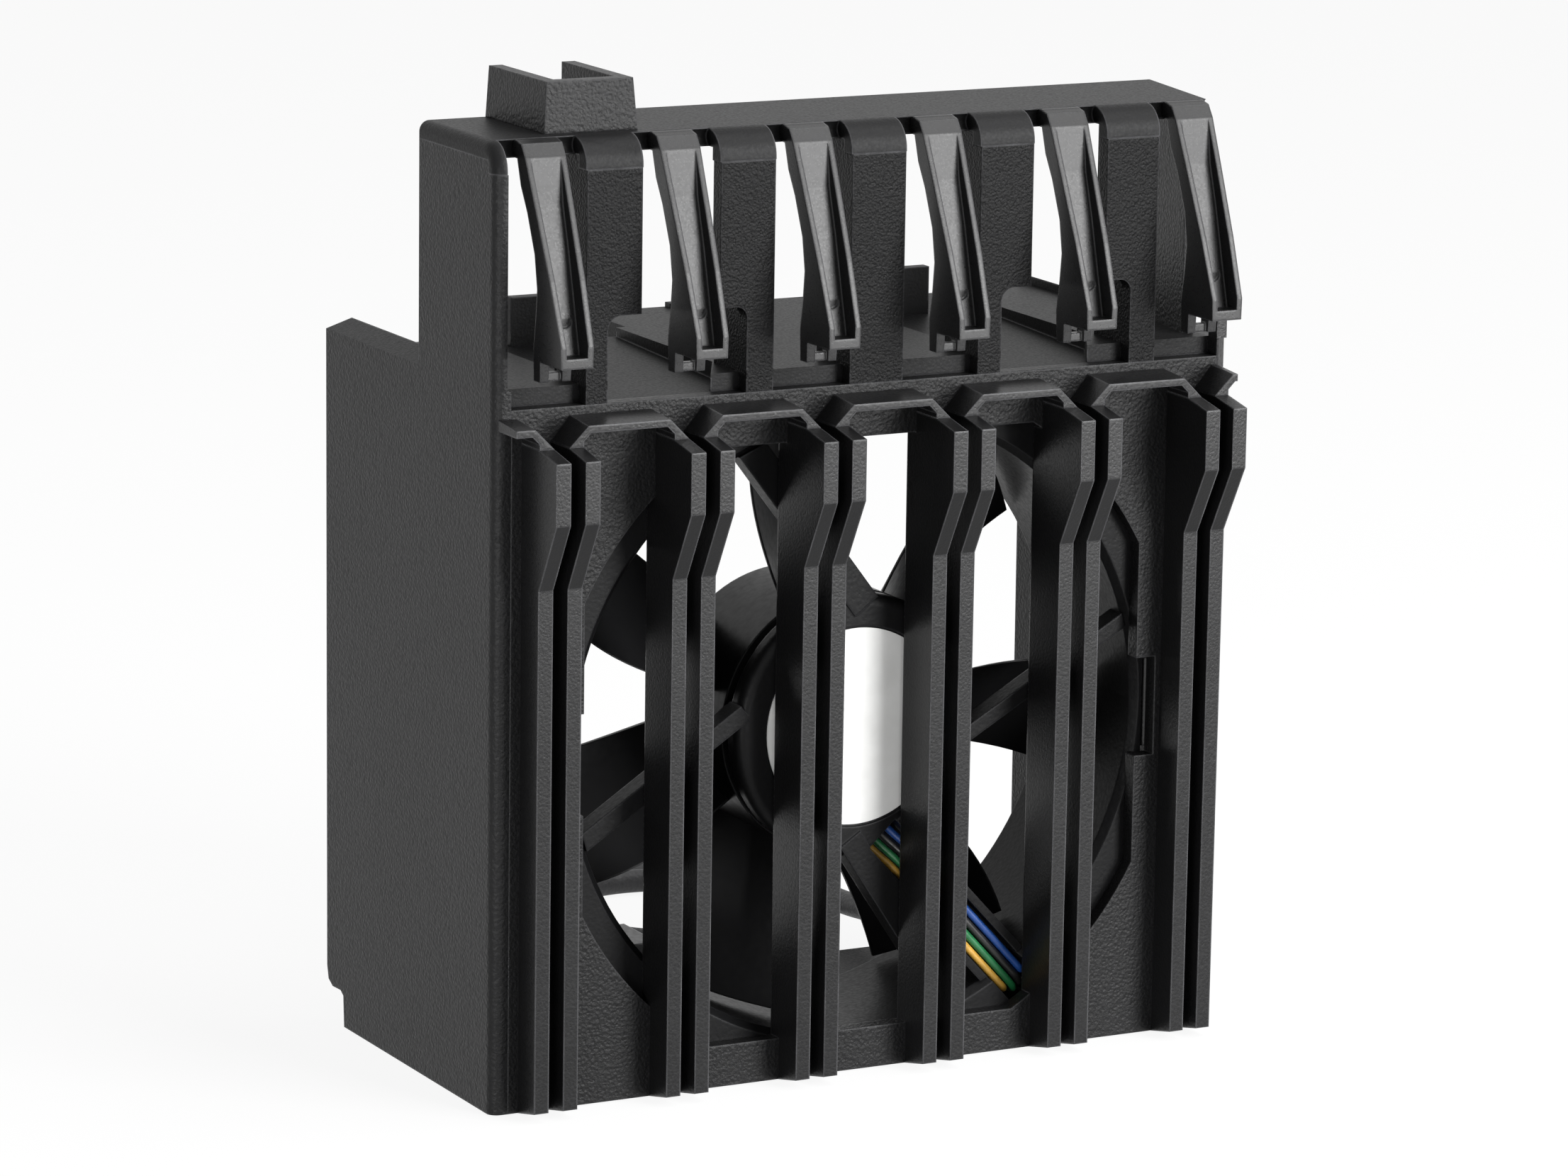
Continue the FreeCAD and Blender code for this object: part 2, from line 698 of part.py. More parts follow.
def hood_boss():
    """Open U-shaped collar on the hood, drafted towards its top."""
    left, front, low = "boss_left", "boss_front", "tower_height"
    right = "boss_left + boss_wide"
    high = "tower_height + boss_high"
    face = [(left, low), (right, low), (right + " - boss_draft", high), (left + " + boss_draft", high)]
    across = prism("boss_across", "XZ_Plane", face, front, "tower_depth")
    side = [(front, low), ("tower_depth", low), ("tower_depth", high), (front + " + boss_draft", high)]
    along = prism("boss_along", "YZ_Plane", side, left + " - 1", right + " + 1")
    inner = box("boss_inner", (left + " + boss_wall + boss_draft", right + " - boss_wall - boss_draft"),
                (front + " + boss_wall + boss_draft", "tower_depth + 1"), (low + " - 1", high + " + 1"))
    return node(cut("hood_boss", common("boss_block", across, along), inner), "hood_boss")


# card guides and their arches

def card_guides(panel):
    """Each guide is a pair of rails with the card slot between them."""
    section = [("panel_thick", "0"), ("0", "0"), ("-rail_front", "rail_tip"),
               ("-rail_mid_front", "rail_break"), ("-rail_lip", "rail_nose_low"),
               ("-rail_lip", "rail_nose_high"), ("-arch_reach", "rail_top"), ("panel_thick", "rail_top")]
    for index in range(CLIP_COUNT):
        centre = clip_centre(index)
        rails = []
        for side, sign in (("left", -1), ("right", 1)):
            near = "%s + %d * slot_gap / 2" % (centre, sign)
            far = "%s + %d * (slot_gap / 2 + rail_thick)" % (centre, sign)
            low, high = (far, near) if sign < 0 else (near, far)
            name = "rail_%s_%d" % (side, index + 1)
            rails.append(prism(name, "YZ_Plane", section, low, high))
        name = "card_guide_%d" % (index + 1)
        node(cut(name, group("rail_pair_%d" % (index + 1), rails), panel), name)


def arch(name, outer, inner):
    """Thin hood over one gap between card guides, its top rising slightly to the panel."""
    body = doc.addObject("PartDesign::Body", name)
    front = sketch_outline(body, "XZ_Plane", outer + inner, "arch_reach")
    back_outer = [(x, z + " + arch_back_rise") if "arch_rise" in z else (x, z) for x, z in outer]
    back = sketch_outline(body, "XZ_Plane", back_outer + inner, "0")
    loft = body.newObject("PartDesign::AdditiveLoft", name + "_loft")
    loft.Profile = front
    loft.Sections = [back]
    loft.Ruled = True
    body.Tip = loft
    return body


def guide_arches():
    low, high = "rail_top", "rail_top + arch_rise"
    under = "rail_top + arch_rise - arch_thick"
    arches = []
    for index in range(CLIP_COUNT - 1):
        left = "%s + slot_gap / 2" % clip_centre(index)
        right = "%s - slot_gap / 2" % clip_centre(index + 1)
        outer = [(left, low), (left + " + arch_rise", high), (right + " - arch_rise", high), (right, low)]
        inner = [(right + " - rail_thick", low), (right + " - rail_thick", under + " - arch_leg"),
                 (right + " - rail_thick - arch_leg", under), (left + " + rail_thick + arch_leg", under),
                 (left + " + rail_thick", under + " - arch_leg"), (left + " + rail_thick", low)]
        arches.append(arch("arch_%d" % (index + 1), outer, inner))
    first = "%s - slot_gap / 2" % clip_centre(0)
    outer = [("arch_end_left", high), (first + " - arch_rise", high), (first, low)]
    inner = [(first + " - rail_thick", low), (first + " - rail_thick", under + " - arch_leg"),
             (first + " - rail_thick - arch_leg", under), ("arch_end_left", under)]
    arches.append(arch("arch_left", outer, inner))
    last = "%s + slot_gap / 2" % clip_centre(CLIP_COUNT - 1)
    outer = [(last, low), (last + " + arch_rise", high), ("arch_end_right", high)]
    inner = [("arch_end_right", under), (last + " + rail_thick + arch_leg", under),
             (last + " + rail_thick", under + " - arch_leg"), (last + " + rail_thick", low)]
    arches.append(arch("arch_right", outer, inner))
    return node(group("guide_arches", arches), "guide_arches")


# sprung guide clips

def guide_clips():
    """Channel-shaped fingers that lean forward from the hood, each on a barrel root."""
    for index in range(CLIP_COUNT):
        tag = "_%d" % (index + 1)
        centre = clip_centre(index)
        left, right = centre + " - clip_left", centre + " + clip_right"
        blank = prism("clip_blank" + tag, "YZ_Plane", hanging_corners("clip"), left, right)
        barrel = rod("clip_barrel" + tag, "clip_barrel", left, "clip_left + clip_right", ALONG_X,
                     ("notch_deep - barrel_back", "tower_height - clip_barrel"))
        body = fuse("clip_body" + tag, [blank, barrel])
        taper_low, taper_high = "tower_height - clip_z9 - 1", "tower_height - clip_z2"
        groove = prism("clip_groove" + tag, "YZ_Plane", hanging_corners("channel"), left, right)
        between = prism("clip_between" + tag, "XZ_Plane",
                        [(left + " + clip_flange + clip_tip_inset", taper_low),
                         (right + " - clip_flange - clip_tip_inset", taper_low),
                         (right + " - clip_flange", taper_high), (left + " + clip_flange", taper_high)],
                        "-14", "8")
        channel = common("clip_channel" + tag, groove, between)
        hollow = prism("clip_hollow" + tag, "YZ_Plane", hanging_corners("hollow"),
                       left + " + clip_post_wide + clip_tip_inset",
                       right + " - clip_post_wide - clip_tip_inset")
        taper_left = prism("clip_taper_left" + tag, "XZ_Plane",
                           [(left + " - 1", taper_low), (left + " + clip_tip_inset", taper_low),
                            (left, taper_high), (left + " - 1", taper_high)], "-14", "8")
        taper_right = prism("clip_taper_right" + tag, "XZ_Plane",
                            [(right + " + 1", taper_low), (right + " - clip_tip_inset", taper_low),
                             (right, taper_high), (right + " + 1", taper_high)], "-14", "8")
        mark = rod("clip_mark" + tag, "pin_mark_radius", "channel_y3 - 3.2",
                   "3.2 + pin_mark_deep + 0.3 * pin_mark_up", ALONG_Y,
                   ("(%s + %s) / 2" % (left, right), "tower_height - channel_z3 + pin_mark_up"))
        cuts = fuse("clip_cuts" + tag, [channel, hollow, taper_left, taper_right, mark])
        shaped = cut("clip_shaped" + tag, body, cuts)
        bar = box("clip_bar" + tag, (left + " + clip_post_wide", right + " - clip_post_wide"),
                  ("clip_y9 - 1.4", "clip_y9 - 0.4"),
                  ("tower_height - clip_z9", "tower_height - clip_z9 + clip_bar"))
        node(fuse("guide_clip" + tag, [shaped, bar]), "guide_clip" + tag)


# fan frame

def fan_frame():
    half = "fan_side / 2"
    face, rear = "panel_thick", "panel_thick + fan_depth"
    square = [("fan_centre_x - %s" % half, "fan_centre_z - %s" % half),
              ("fan_centre_x + %s" % half, "fan_centre_z - %s" % half),
              ("fan_centre_x + %s" % half, "fan_centre_z + %s" % half),
              ("fan_centre_x - %s" % half, "fan_centre_z + %s" % half)]
    plates = []
    for name, low, high in (("fan_front_flange", face, face + " + fan_flange"),
                            ("fan_rear_flange", rear + " - fan_flange", rear)):
        plate = prism(name, "XZ_Plane", square, low, high)
        round_edges(plate, "fan_corner",
                    lambda edge: abs(edge.Vertexes[0].Point.y - edge.Vertexes[-1].Point.y) > 1)
        plates.append(plate)
    tube = rod("fan_tube", "fan_tube", face, "fan_depth")
    body = fuse("fan_frame_blank", plates + [tube])
    cuts = [rod("fan_bore", "fan_bore", face + " - 1", "fan_depth + 2")]
    for name, start, base, top in (("front", face, "fan_bore + fan_bore_chamfer", "fan_bore"),
                                   ("rear", rear + " - fan_bore_chamfer", "fan_bore",
                                    "fan_bore + fan_bore_chamfer")):
        cone = doc.addObject("Part::Cone", "fan_flare_" + name)
        cone.Placement = FreeCAD.Placement(FreeCAD.Vector(), ALONG_Y)
        cone.setExpression("Radius1", bind(base))
        cone.setExpression("Radius2", bind(top))
        cone.setExpression("Height", bind("fan_bore_chamfer"))
        cone.setExpression("Placement.Base.x", bind("fan_centre_x"))
        cone.setExpression("Placement.Base.y", bind(start))
        cone.setExpression("Placement.Base.z", bind("fan_centre_z"))
        cuts.append(cone)
    for count, (sx, sz) in enumerate(((-1, -1), (1, -1), (1, 1), (-1, 1)), start=1):
        centre = ("fan_centre_x + %d * hole_spacing / 2" % sx, "fan_centre_z + %d * hole_spacing / 2" % sz)
        cuts.append(rod("fan_hole_%d" % count, "hole_radius", face + " - 1", "fan_depth + 2",
                        ALONG_Y, centre))
    cuts.append(turned_box("lead_slot", ("fan_bore - 3", "lead_exit + lead_notch"), "lead_channel_wide / 2",
                           (face + " - 1", face + " + fan_flange + 1"), "lead_angle", "lead_shift"))
    turn = ("cos(lead_angle * 1deg)", "sin(lead_angle * 1deg)")
    cuts.append(rod("lead_exit_hole", "lead_notch", rear + " - fan_flange - 1", "fan_flange + 2", ALONG_Y,
                    ("fan_centre_x + lead_exit * %s + lead_shift * %s" % turn,
                     "fan_centre_z + lead_exit * %s - lead_shift * %s" % (turn[1], turn[0]))))
    return node(cut("fan_frame", body, fuse("fan_frame_cuts", cuts)), "fan_frame")


def fan_spider():
    """Motor base disc, its four struts and the channel that carries the lead's wires."""
    face = "panel_thick + base_front"
    base = rod("base_disc", "base_radius", face, "base_thick")
    doc.recompute()
    rounded = doc.addObject("Part::Fillet", "base_rounded")
    rounded.Base = base
    front_edge = [k + 1 for k, edge in enumerate(base.Shape.Edges)
                  if len(edge.Vertexes) == 1 and abs(edge.Vertexes[0].Point.y - base.Shape.BoundBox.YMin) < 1e-4]
    rounded.Edges = [(k, size("base_round"), size("base_round")) for k in front_edge]
    strut_face = "panel_thick + strut_front"
    deep = (strut_face, strut_face + " + strut_deep")
    struts = [turned_box("strut_lead", ("lead_strut_root", "fan_bore + lead_strut_reach"),
                         "lead_strut_wide / 2", deep, "lead_angle", "lead_shift")]
    for name in STRUTS:
        word = "strut_" + name
        struts.append(turned_box(word, ("strut_root", "fan_bore + strut_reach"), word + "_wide / 2",
                                 deep, word + "_turn", word + "_shift"))
    reach = rod("strut_reach", "fan_bore", "0", "fan_depth")
    solid = common("spider_blank", fuse("spider_union", [rounded] + struts), reach)
    recess = rod("label_recess", "label_radius + label_gap", face + " - 1", "label_recess + 1")
    bore = rod("base_bore", "tube_outer", face + " - 1", "base_thick + 2")
    channel = turned_box("lead_channel", ("lead_hole_start", "fan_bore + strut_reach + 1"),
                         "lead_channel_wide / 2",
                         (strut_face + " - 1", strut_face + " + lead_channel_deep"), "lead_angle", "lead_shift")
    passage = turned_box("lead_passage", ("lead_hole_start", "lead_hole_end"), "lead_channel_wide / 2",
                         (strut_face + " - 1", face + " + base_thick + 1"), "lead_angle", "lead_shift")
    cuts = fuse("spider_cuts", [recess, bore, channel, passage])
    return node(cut("fan_spider", solid, cuts), "fan_spider")


# motor and impeller

def motor():
    face = "panel_thick + "
    node(rod("hub_label", "label_radius", face + "base_front + label_recess - label_thick", "label_thick"),
         "hub_label")
    node(ring("bearing_tube", "tube_outer", "tube_inner", face + "tube_front", "tube_rear - tube_front"),
         "bearing_tube")
    for name, start in (("front_bearing", "bearing_front"), ("rear_bearing", "bearing_rear")):
        node(ring(name, "tube_inner", "shaft_radius + shaft_clearance", face + start, "bearing_thick"), name)
    node(ring("preload_washer", "washer_outer", "shaft_radius + 0.3",
              face + "bearing_rear + bearing_thick", "washer_thick"), "preload_washer")
    node(ring("motor_board", "board_outer", "tube_outer", face + "board_front", "board_thick"), "motor_board")
    core = [ring("core_hub", "pole_hub", "tube_outer", face + "core_front", "core_thick")]
    rim = ring("core_rim", "core_outer", "core_outer - shoe_thick", face + "core_front", "core_thick")
    gaps = [turned_box("core_gap_%d" % k, ("core_outer - 4", "core_outer + 2"), "pole_wide / 3",
                       (face + "core_front - 1", face + "core_front + core_thick + 1"), str(45 + 90 * k))
            for k in range(4)]
    core.append(cut("core_shoes", rim, fuse("core_gaps", gaps)))
    coils = []
    for k in range(4):
        angle = str(90 * k)
        pole = turned_box("pole_%d" % k, ("pole_hub - 1", "core_outer - shoe_thick / 2"), "pole_wide / 2",
                          (face + "core_front", face + "core_front + core_thick"), angle)
        core.append(pole)
        winding = turned_box("winding_%d" % k, ("coil_inner", "coil_outer"), "pole_wide / 2 + coil_swell",
                             (face + "core_front - coil_swell",
                              face + "core_front + core_thick + coil_swell"), angle)
        coils.append(winding)
    stator = fuse("stator_core", core)
    node(cut("stator_coils", group("windings", coils), stator), "stator_coils")
    node(stator, "stator_core", shared=True)


def rotor():
    face = "panel_thick + "
    node(ring("magnet_ring", "magnet_outer", "magnet_inner", face + "magnet_front", "magnet_long"),
         "magnet_ring")
    cup = rod("yoke_cup", "yoke_outer", face + "yoke_front", "yoke_rear - yoke_front")
    space = fuse("yoke_space", [rod("yoke_room", "magnet_outer", face + "yoke_front - 1",
                                    "yoke_rear - yoke_plate - yoke_front + 1"),
                                rod("yoke_hole", "shaft_radius + 1.5", face + "yoke_front - 1",
                                    "yoke_rear - yoke_front + 2")])
    node(cut("rotor_yoke", cup, space), "rotor_yoke")
    shaft = rod("shaft_pin", "shaft_radius", face + "shaft_front", "hub_rear - hub_plate - shaft_front")
    groove = ring("shaft_groove", "shaft_radius + 1", "shaft_radius - 0.3", face + "clip_ring_front",
                  "clip_ring_thick")
    node(cut("rotor_shaft", shaft, groove), "rotor_shaft")
    node(ring("retaining_clip", "clip_ring_outer", "shaft_radius - 0.3", face + "clip_ring_front",
              "clip_ring_thick"), "retaining_clip")


def blade_section(radius):
    """Closed cambered section of a blade, in a plane square to its radius."""
    share = (radius - size("hub_outer")) / (size("blade_tip") - size("hub_outer"))
    turn = size("blade_root_turn") + share * (size("blade_tip_turn") - size("blade_root_turn"))
    out = radius - (size("hub_outer") + size("blade_tip")) / 2
    middle = math.radians(size("blade_angle") + size("blade_sweep") * out + size("blade_bow") * out ** 2)
    front = size("panel_thick") + size("blade_front")
    deep = size("blade_rear") - size("blade_front")
    thick = size("blade_thick") * (1.5 - 0.5 * share)
    outward = FreeCAD.Vector(math.cos(middle), 0, math.sin(middle))
    sideways = FreeCAD.Vector(-math.sin(middle), 0, math.cos(middle))
    centre = FreeCAD.Vector(size("fan_centre_x"), front, size("fan_centre_z")) + outward * radius
    upper, lower = [], []
    steps = 6
    for k in range(steps + 1):
        part = k / steps
        along = radius * math.radians(turn) * (0.5 - part)
        bow = 4 * size("blade_camber") * deep * part * (1 - part)
        half = 0.5 * thick * (0.4 + 0.6 * math.sin(math.pi * part))
        for line, shift in ((upper, half), (lower, -half)):
            line.append(centre + sideways * along + FreeCAD.Vector(0, deep * part + bow + shift, 0))
    lower.reverse()
    edges = []
    for line in (upper, lower):
        curve = Part.BSplineCurve()
        curve.interpolate(line)
        edges.append(curve.toShape())
    edges.insert(1, Part.makeLine(upper[-1], lower[0]))
    edges.append(Part.makeLine(lower[-1], upper[0]))
    return Part.Wire(edges)


def impeller():
    """Moulded hub with swept blades around it."""
    face = "panel_thick + "
    cup = rod("hub_cup", "hub_outer", face + "hub_front", "hub_rear - hub_front")
    blades = []
    inner, outer = size("yoke_outer") + size("blade_root_sunk"), size("blade_tip") + size("blade_thick") / 2
    radii = [inner + (outer - inner) * k / 4 for k in range(5)]
    loft = Part.makeLoft([blade_section(radius) for radius in radii], True, False)
    axis_point = FreeCAD.Vector(size("fan_centre_x"), 0, size("fan_centre_z"))
    reach = Part.makeCylinder(size("blade_tip"), size("box_depth"), axis_point, FreeCAD.Vector(0, 1, 0))
    loft = loft.common(reach)
    print("blade volume %.1f, valid %s" % (loft.Volume, loft.isValid()))
    for k in range(int(size("blade_count"))):
        blade = doc.addObject("Part::Feature", "blade_%d" % (k + 1))
        copy = loft.copy()
        copy.rotate(axis_point, FreeCAD.Vector(0, -1, 0), 360.0 / size("blade_count") * k)
        blade.Shape = copy
        blades.append(blade)
    room = fuse("hub_room", [rod("hub_space", "yoke_outer", face + "hub_front - 1",
                                 "yoke_rear - hub_front + 1"),
                             rod("hub_bore", "shaft_radius", face + "hub_front - 1",
                                 "hub_rear - hub_plate - hub_front + 1")])
    socket = ring("hub_socket", "shaft_radius + 1.5", "shaft_radius", face + "tube_rear + 0.6",
                  "yoke_rear - tube_rear - 0.6")
    shell = cut("hub_shell", cup, room)
    return node(fuse("impeller", [shell, socket] + blades), "impeller")


# latches and ribs that hold the fan

def latch_arm(label, left, barb_sign):
    """Flat arm beside the fan with a hook behind its rear face, round at the root."""
    right = left + " + arm_thick"
    root_y = "panel_thick + arm_gap + arm_thick / 2"
    hook_y = "panel_thick + fan_depth + barb_gap"
    end_y = hook_y + " + barb_long"
    if barb_sign > 0:
        plan = [(left, root_y), (left, end_y), (right, end_y), (right + " + barb_reach", hook_y),
                (right, hook_y), (right, root_y)]
    else:
        plan = [(right, root_y), (right, end_y), (left, end_y), (left + " - barb_reach", hook_y),
                (left, hook_y), (left, root_y)]
    arm = prism(label + "_arm", "XY_Plane", plan, "arm_low", "arm_high")
    root = doc.addObject("Part::Cylinder", label + "_root")
    root.setExpression("Radius", bind("arm_thick / 2"))
    root.setExpression("Height", bind("arm_high - arm_low"))
    root.setExpression("Placement.Base.x", bind(left + " + arm_thick / 2"))
    root.setExpression("Placement.Base.y", bind(root_y))
    root.setExpression("Placement.Base.z", bind("arm_low"))
    return node(fuse(label, [arm, root]), label)


def fan_ribs():
    """Short ribs between the housing and the fan frame on all four sides."""
    near, far = "panel_thick", "panel_thick + fan_depth"
    left, right = "fan_centre_x - fan_side / 2", "fan_centre_x + fan_side / 2"
    low, high = "fan_centre_z - fan_side / 2", "fan_centre_z + fan_side / 2"
    ribs = []
    for k, start in enumerate((left + " + rib_low_inset", right + " - rib_low_inset - rib_thick")):
        ribs.append(box("rib_low_%d" % k, (start, start + " + rib_thick"), (near, far), ("plate", low)))
    for k, start in enumerate((left + " + rib_high_inset_left",
                               right + " - rib_high_inset_right - rib_thick")):
        ribs.append(box("rib_high_%d" % k, (start, start + " + rib_thick"), (near, far),
                        (high, "sill_height")))
    for k, level in enumerate((low + " + rib_side_low", high + " - rib_side_high - rib_thick")):
        levels = (level, level + " + rib_thick")
        ribs.append(box("rib_left_%d" % k, ("wall", left), (near, far), levels))
        ribs.append(box("rib_right_%d" % k, (right, "tray_width - wall"), (near, far), levels))
    return node(group("fan_ribs", ribs), "fan_ribs")


# lead and plug

def smooth_path(points, factor=0.45):
    """Straight runs joined by tangent arcs, each as large as its two runs allow."""
    points = [FreeCAD.Vector(*point) for point in points]
    edges, start, radii = [], points[0], []
    for before, corner, after in zip(points, points[1:], points[2:]):
        back, ahead = before - corner, after - corner
        reach = factor * min(back.Length, ahead.Length)
        turn = math.pi - back.getAngle(ahead)
        radii.append(reach / math.tan(turn / 2))
        back.normalize()
        ahead.normalize()
        enter, leave = corner + back * reach, corner + ahead * reach
        bisector = (back + ahead).normalize()
        middle = corner + bisector * (radii[-1] / math.cos(turn / 2) - radii[-1])
        edges.append(Part.LineSegment(start, enter).toShape())
        edges.append(Part.Arc(enter, middle, leave).toShape())
        start = leave
    edges.append(Part.LineSegment(start, points[-1]).toShape())
    print("lead radii", ["%.1f" % radius for radius in radii])
    return Part.Wire(edges)


def tube(label, path, radius):
    """Round lead along a path."""
    start = path.Edges[0]
    direction = start.tangentAt(start.FirstParameter)
    ends = [edge.valueAt(edge.FirstParameter) for edge in path.Edges]
    ring_wire = Part.Wire([Part.makeCircle(radius, ends[0], direction)])
    solid = path.makePipeShell([ring_wire], True, True)
    expected = math.pi * radius ** 2 * path.Length
    if abs(solid.Volume / expected - 1) > 0.02:
        raise RuntimeError("%s has volume %.2f, not %.2f" % (label, solid.Volume, expected))
    item = doc.addObject("Part::Feature", label)
    item.Shape = solid
    return node(item, label)


def channel_point(along, across, y):
    """Point in the lead's channel, at a distance along it and across from its middle line."""
    angle = math.radians(size("lead_angle"))
    aside = size("lead_shift") + across
    x = size("fan_centre_x") + along * math.cos(angle) + aside * math.sin(angle)
    z = size("fan_centre_z") + along * math.sin(angle) - aside * math.cos(angle)
    return (x, y, z)


def lead_wires():
    """Four wires from the motor board, out along the channel, then rearwards as a bundle."""
    face = size("panel_thick")
    board_y = face + size("board_front") - size("wire_radius")
    floor_y = face + size("strut_front") + size("lead_channel_deep") - size("wire_radius") - size("wire_gap")
    leave, gather = size("lead_exit"), size("wire_gather")
    end_y = face + size("sleeve_front") - size("wire_gap")
    for k, label in enumerate(LEAD_NAMES):
        across = (k - 1.5) * size("wire_step")
        side = gather if across > 0 else -gather
        route = [channel_point(size("wire_root"), across, board_y),
                 channel_point(size("wire_dip_start"), across, board_y),
                 channel_point(size("wire_dip_end"), across, floor_y)]
        if k in (0, 3):
            turn_in = leave - gather - size("wire_turn_in")
            drop_y = floor_y + size("wire_drop")
            route += [channel_point(turn_in, across, floor_y),
                      channel_point(turn_in, across, drop_y),
                      channel_point(leave - gather, side, (drop_y + end_y) / 2),
                      channel_point(leave - gather, side, end_y)]
        else:
            route += [channel_point(leave + gather, across, floor_y),
                      channel_point(leave + gather, side, end_y)]
        tube(label, smooth_path(route), size("wire_radius"))


def lead_sleeve():
    tube("lead_sleeve", smooth_path(LEAD_ROUTE), size("sleeve_radius"))


def lead_coil():
    """Outer shape of the coiled lead lying on the ground."""
    strands = math.ceil(size("coil_turns"))
    inner = size("coil_radius") - size("sleeve_radius")
    outer = size("coil_radius") + size("coil_strand_step") * (strands - 1) + size("sleeve_radius")
    high = 2 * size("sleeve_radius")
    centre = FreeCAD.Vector(size("coil_centre_x"), size("coil_centre_y"), 0)
    solid = Part.makeCylinder(outer, high, centre).cut(Part.makeCylinder(inner, high, centre))
    item = doc.addObject("Part::Feature", "lead_coil")
    item.Shape = solid
    return node(item, "lead_coil")


def lead_plug():
    """Tail of the lead and its four-way plug, lying beside the coil."""
    last = size("coil_radius") + size("coil_strand_step")
    x = size("coil_centre_x") - last
    top = size("coil_centre_y")
    end = top - size("tail_long")
    path = Part.Wire([Part.makeLine(FreeCAD.Vector(x, top, size("sleeve_radius")),
                                    FreeCAD.Vector(x, end, size("sleeve_radius")))])
    tube("lead_tail", path, size("sleeve_radius"))
    block = doc.addObject("Part::Box", "plug_block")
    block.Placement.Base = FreeCAD.Vector(x - size("plug_wide") / 2, end - size("plug_long"), 0)
    block.setExpression("Length", bind("plug_wide"))
    block.setExpression("Width", bind("plug_long"))
    block.setExpression("Height", bind("plug_high"))
    holes, contacts = [], []
    for k in range(4):
        hole_x = x + (k - 1.5) * size("plug_pitch")
        half = size("plug_hole")
        hole = doc.addObject("Part::Box", "plug_hole_%d" % (k + 1))
        hole.Placement.Base = FreeCAD.Vector(hole_x - half, end - size("plug_long"), size("plug_high") / 2 - half)
        hole.setExpression("Length", bind("2 * plug_hole"))
        hole.setExpression("Width", bind("plug_long - 2"))
        hole.setExpression("Height", bind("2 * plug_hole"))
        holes.append(hole)
        contact = doc.addObject("Part::Box", "plug_contact_%d" % (k + 1))
        contact.Placement.Base = FreeCAD.Vector(hole_x - 0.6 * half, end - size("plug_long") + 1.5,
                                                size("plug_high") / 2 - half)
        contact.setExpression("Length", bind("1.2 * plug_hole"))
        contact.setExpression("Width", bind("plug_long - 3.5"))
        contact.setExpression("Height", bind("0.6 * plug_hole"))
        contacts.append(contact)
    node(cut("fan_plug", block, fuse("plug_holes", holes)), "fan_plug")
    node(group("plug_contacts", contacts), "plug_contacts")


def build():
    panel = front_panel()
    side_walls()
    duct_floor()
    shelf = duct_shelf()
    shelf_tabs(shelf)
    shoulder_ledges()
    hood = hood_body()
    tower_walls()
    window_pillars(hood, shelf, panel)
    hood_boss()
    card_guides(panel)
    guide_arches()
    guide_clips()
    fan_frame()
    fan_spider()
    motor()
    rotor()
    impeller()
    latch_arm("left_latch_arm", "arm_left", 1)
    latch_arm("right_latch_arm", "arm_right", -1)
    fan_ribs()
    lead_wires()
    lead_sleeve()
    lead_coil()
    lead_plug()


def check_and_write():
    doc.recompute()
    for item in doc.Objects:
        if "Invalid" in item.State or "Error" in item.State:
            raise RuntimeError("%s did not recompute: %s" % (item.Name, item.State))
    for label, item in nodes.items():
        if item.Shape.isNull() or not item.Shape.isValid() or not item.Shape.Solids:
            raise RuntimeError("%s has no valid solid" % label)
    os.makedirs("parts", exist_ok=True)
    for label, item in nodes.items():
        item.Shape.exportStep("parts/%s.step" % label)
        extent = item.Shape.BoundBox
        print("%-18s solids %d  volume %9.1f  x %7.2f %7.2f  y %7.2f %7.2f  z %7.2f %7.2f" % (
            label, len(item.Shape.Solids), item.Shape.Volume, extent.XMin, extent.XMax,
            extent.YMin, extent.YMax, extent.ZMin, extent.ZMax))


build()
check_and_write()
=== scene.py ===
import math

import bmesh
import bpy
from mathutils import Matrix, Vector


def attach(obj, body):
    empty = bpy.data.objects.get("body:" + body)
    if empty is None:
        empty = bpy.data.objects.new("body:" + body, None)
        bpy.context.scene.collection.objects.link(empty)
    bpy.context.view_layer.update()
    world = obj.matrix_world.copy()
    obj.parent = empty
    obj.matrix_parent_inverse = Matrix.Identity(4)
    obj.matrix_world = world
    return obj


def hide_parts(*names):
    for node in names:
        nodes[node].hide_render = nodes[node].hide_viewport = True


# A black moulded fan duct with card guides, sprung clips and a 92 mm fan, seen from its
# left front. Lengths are in metres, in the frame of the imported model: X to the right,
# Y from the front to the rear, Z up from the ground.

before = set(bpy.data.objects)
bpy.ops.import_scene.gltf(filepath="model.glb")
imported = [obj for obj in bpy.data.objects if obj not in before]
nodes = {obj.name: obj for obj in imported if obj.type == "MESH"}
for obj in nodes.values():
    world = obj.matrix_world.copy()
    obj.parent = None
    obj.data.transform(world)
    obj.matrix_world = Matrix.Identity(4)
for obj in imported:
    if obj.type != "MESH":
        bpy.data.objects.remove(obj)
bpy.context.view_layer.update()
scene = bpy.context.scene
scene.view_settings.view_transform = "Standard"

MM = 0.001

# Base colours of the black plastics, linear.
TEXTURED_BLACK = (0.0075, 0.0075, 0.0078)
PILLAR_BLACK = (0.0045, 0.0045, 0.0047)
SMOOTH_BLACK = (0.006, 0.006, 0.0063)
FAN_BLACK = (0.005, 0.005, 0.0053)
# Height at which the housing's upper walls go on from the lower ones, one surface in one mould.
SEAM_HEIGHT = 101.5 * MM

# Camera, solved from the rails, walls and opening in the photograph.
CAMERA_PLACE = Vector((-0.43666, -0.83283, 0.26392))
CAMERA_YAW = math.radians(27.5787)
CAMERA_DOWN = math.radians(11.9248)
CAMERA_ROLL = math.radians(0.8265)
CAMERA_LENS = 154.19

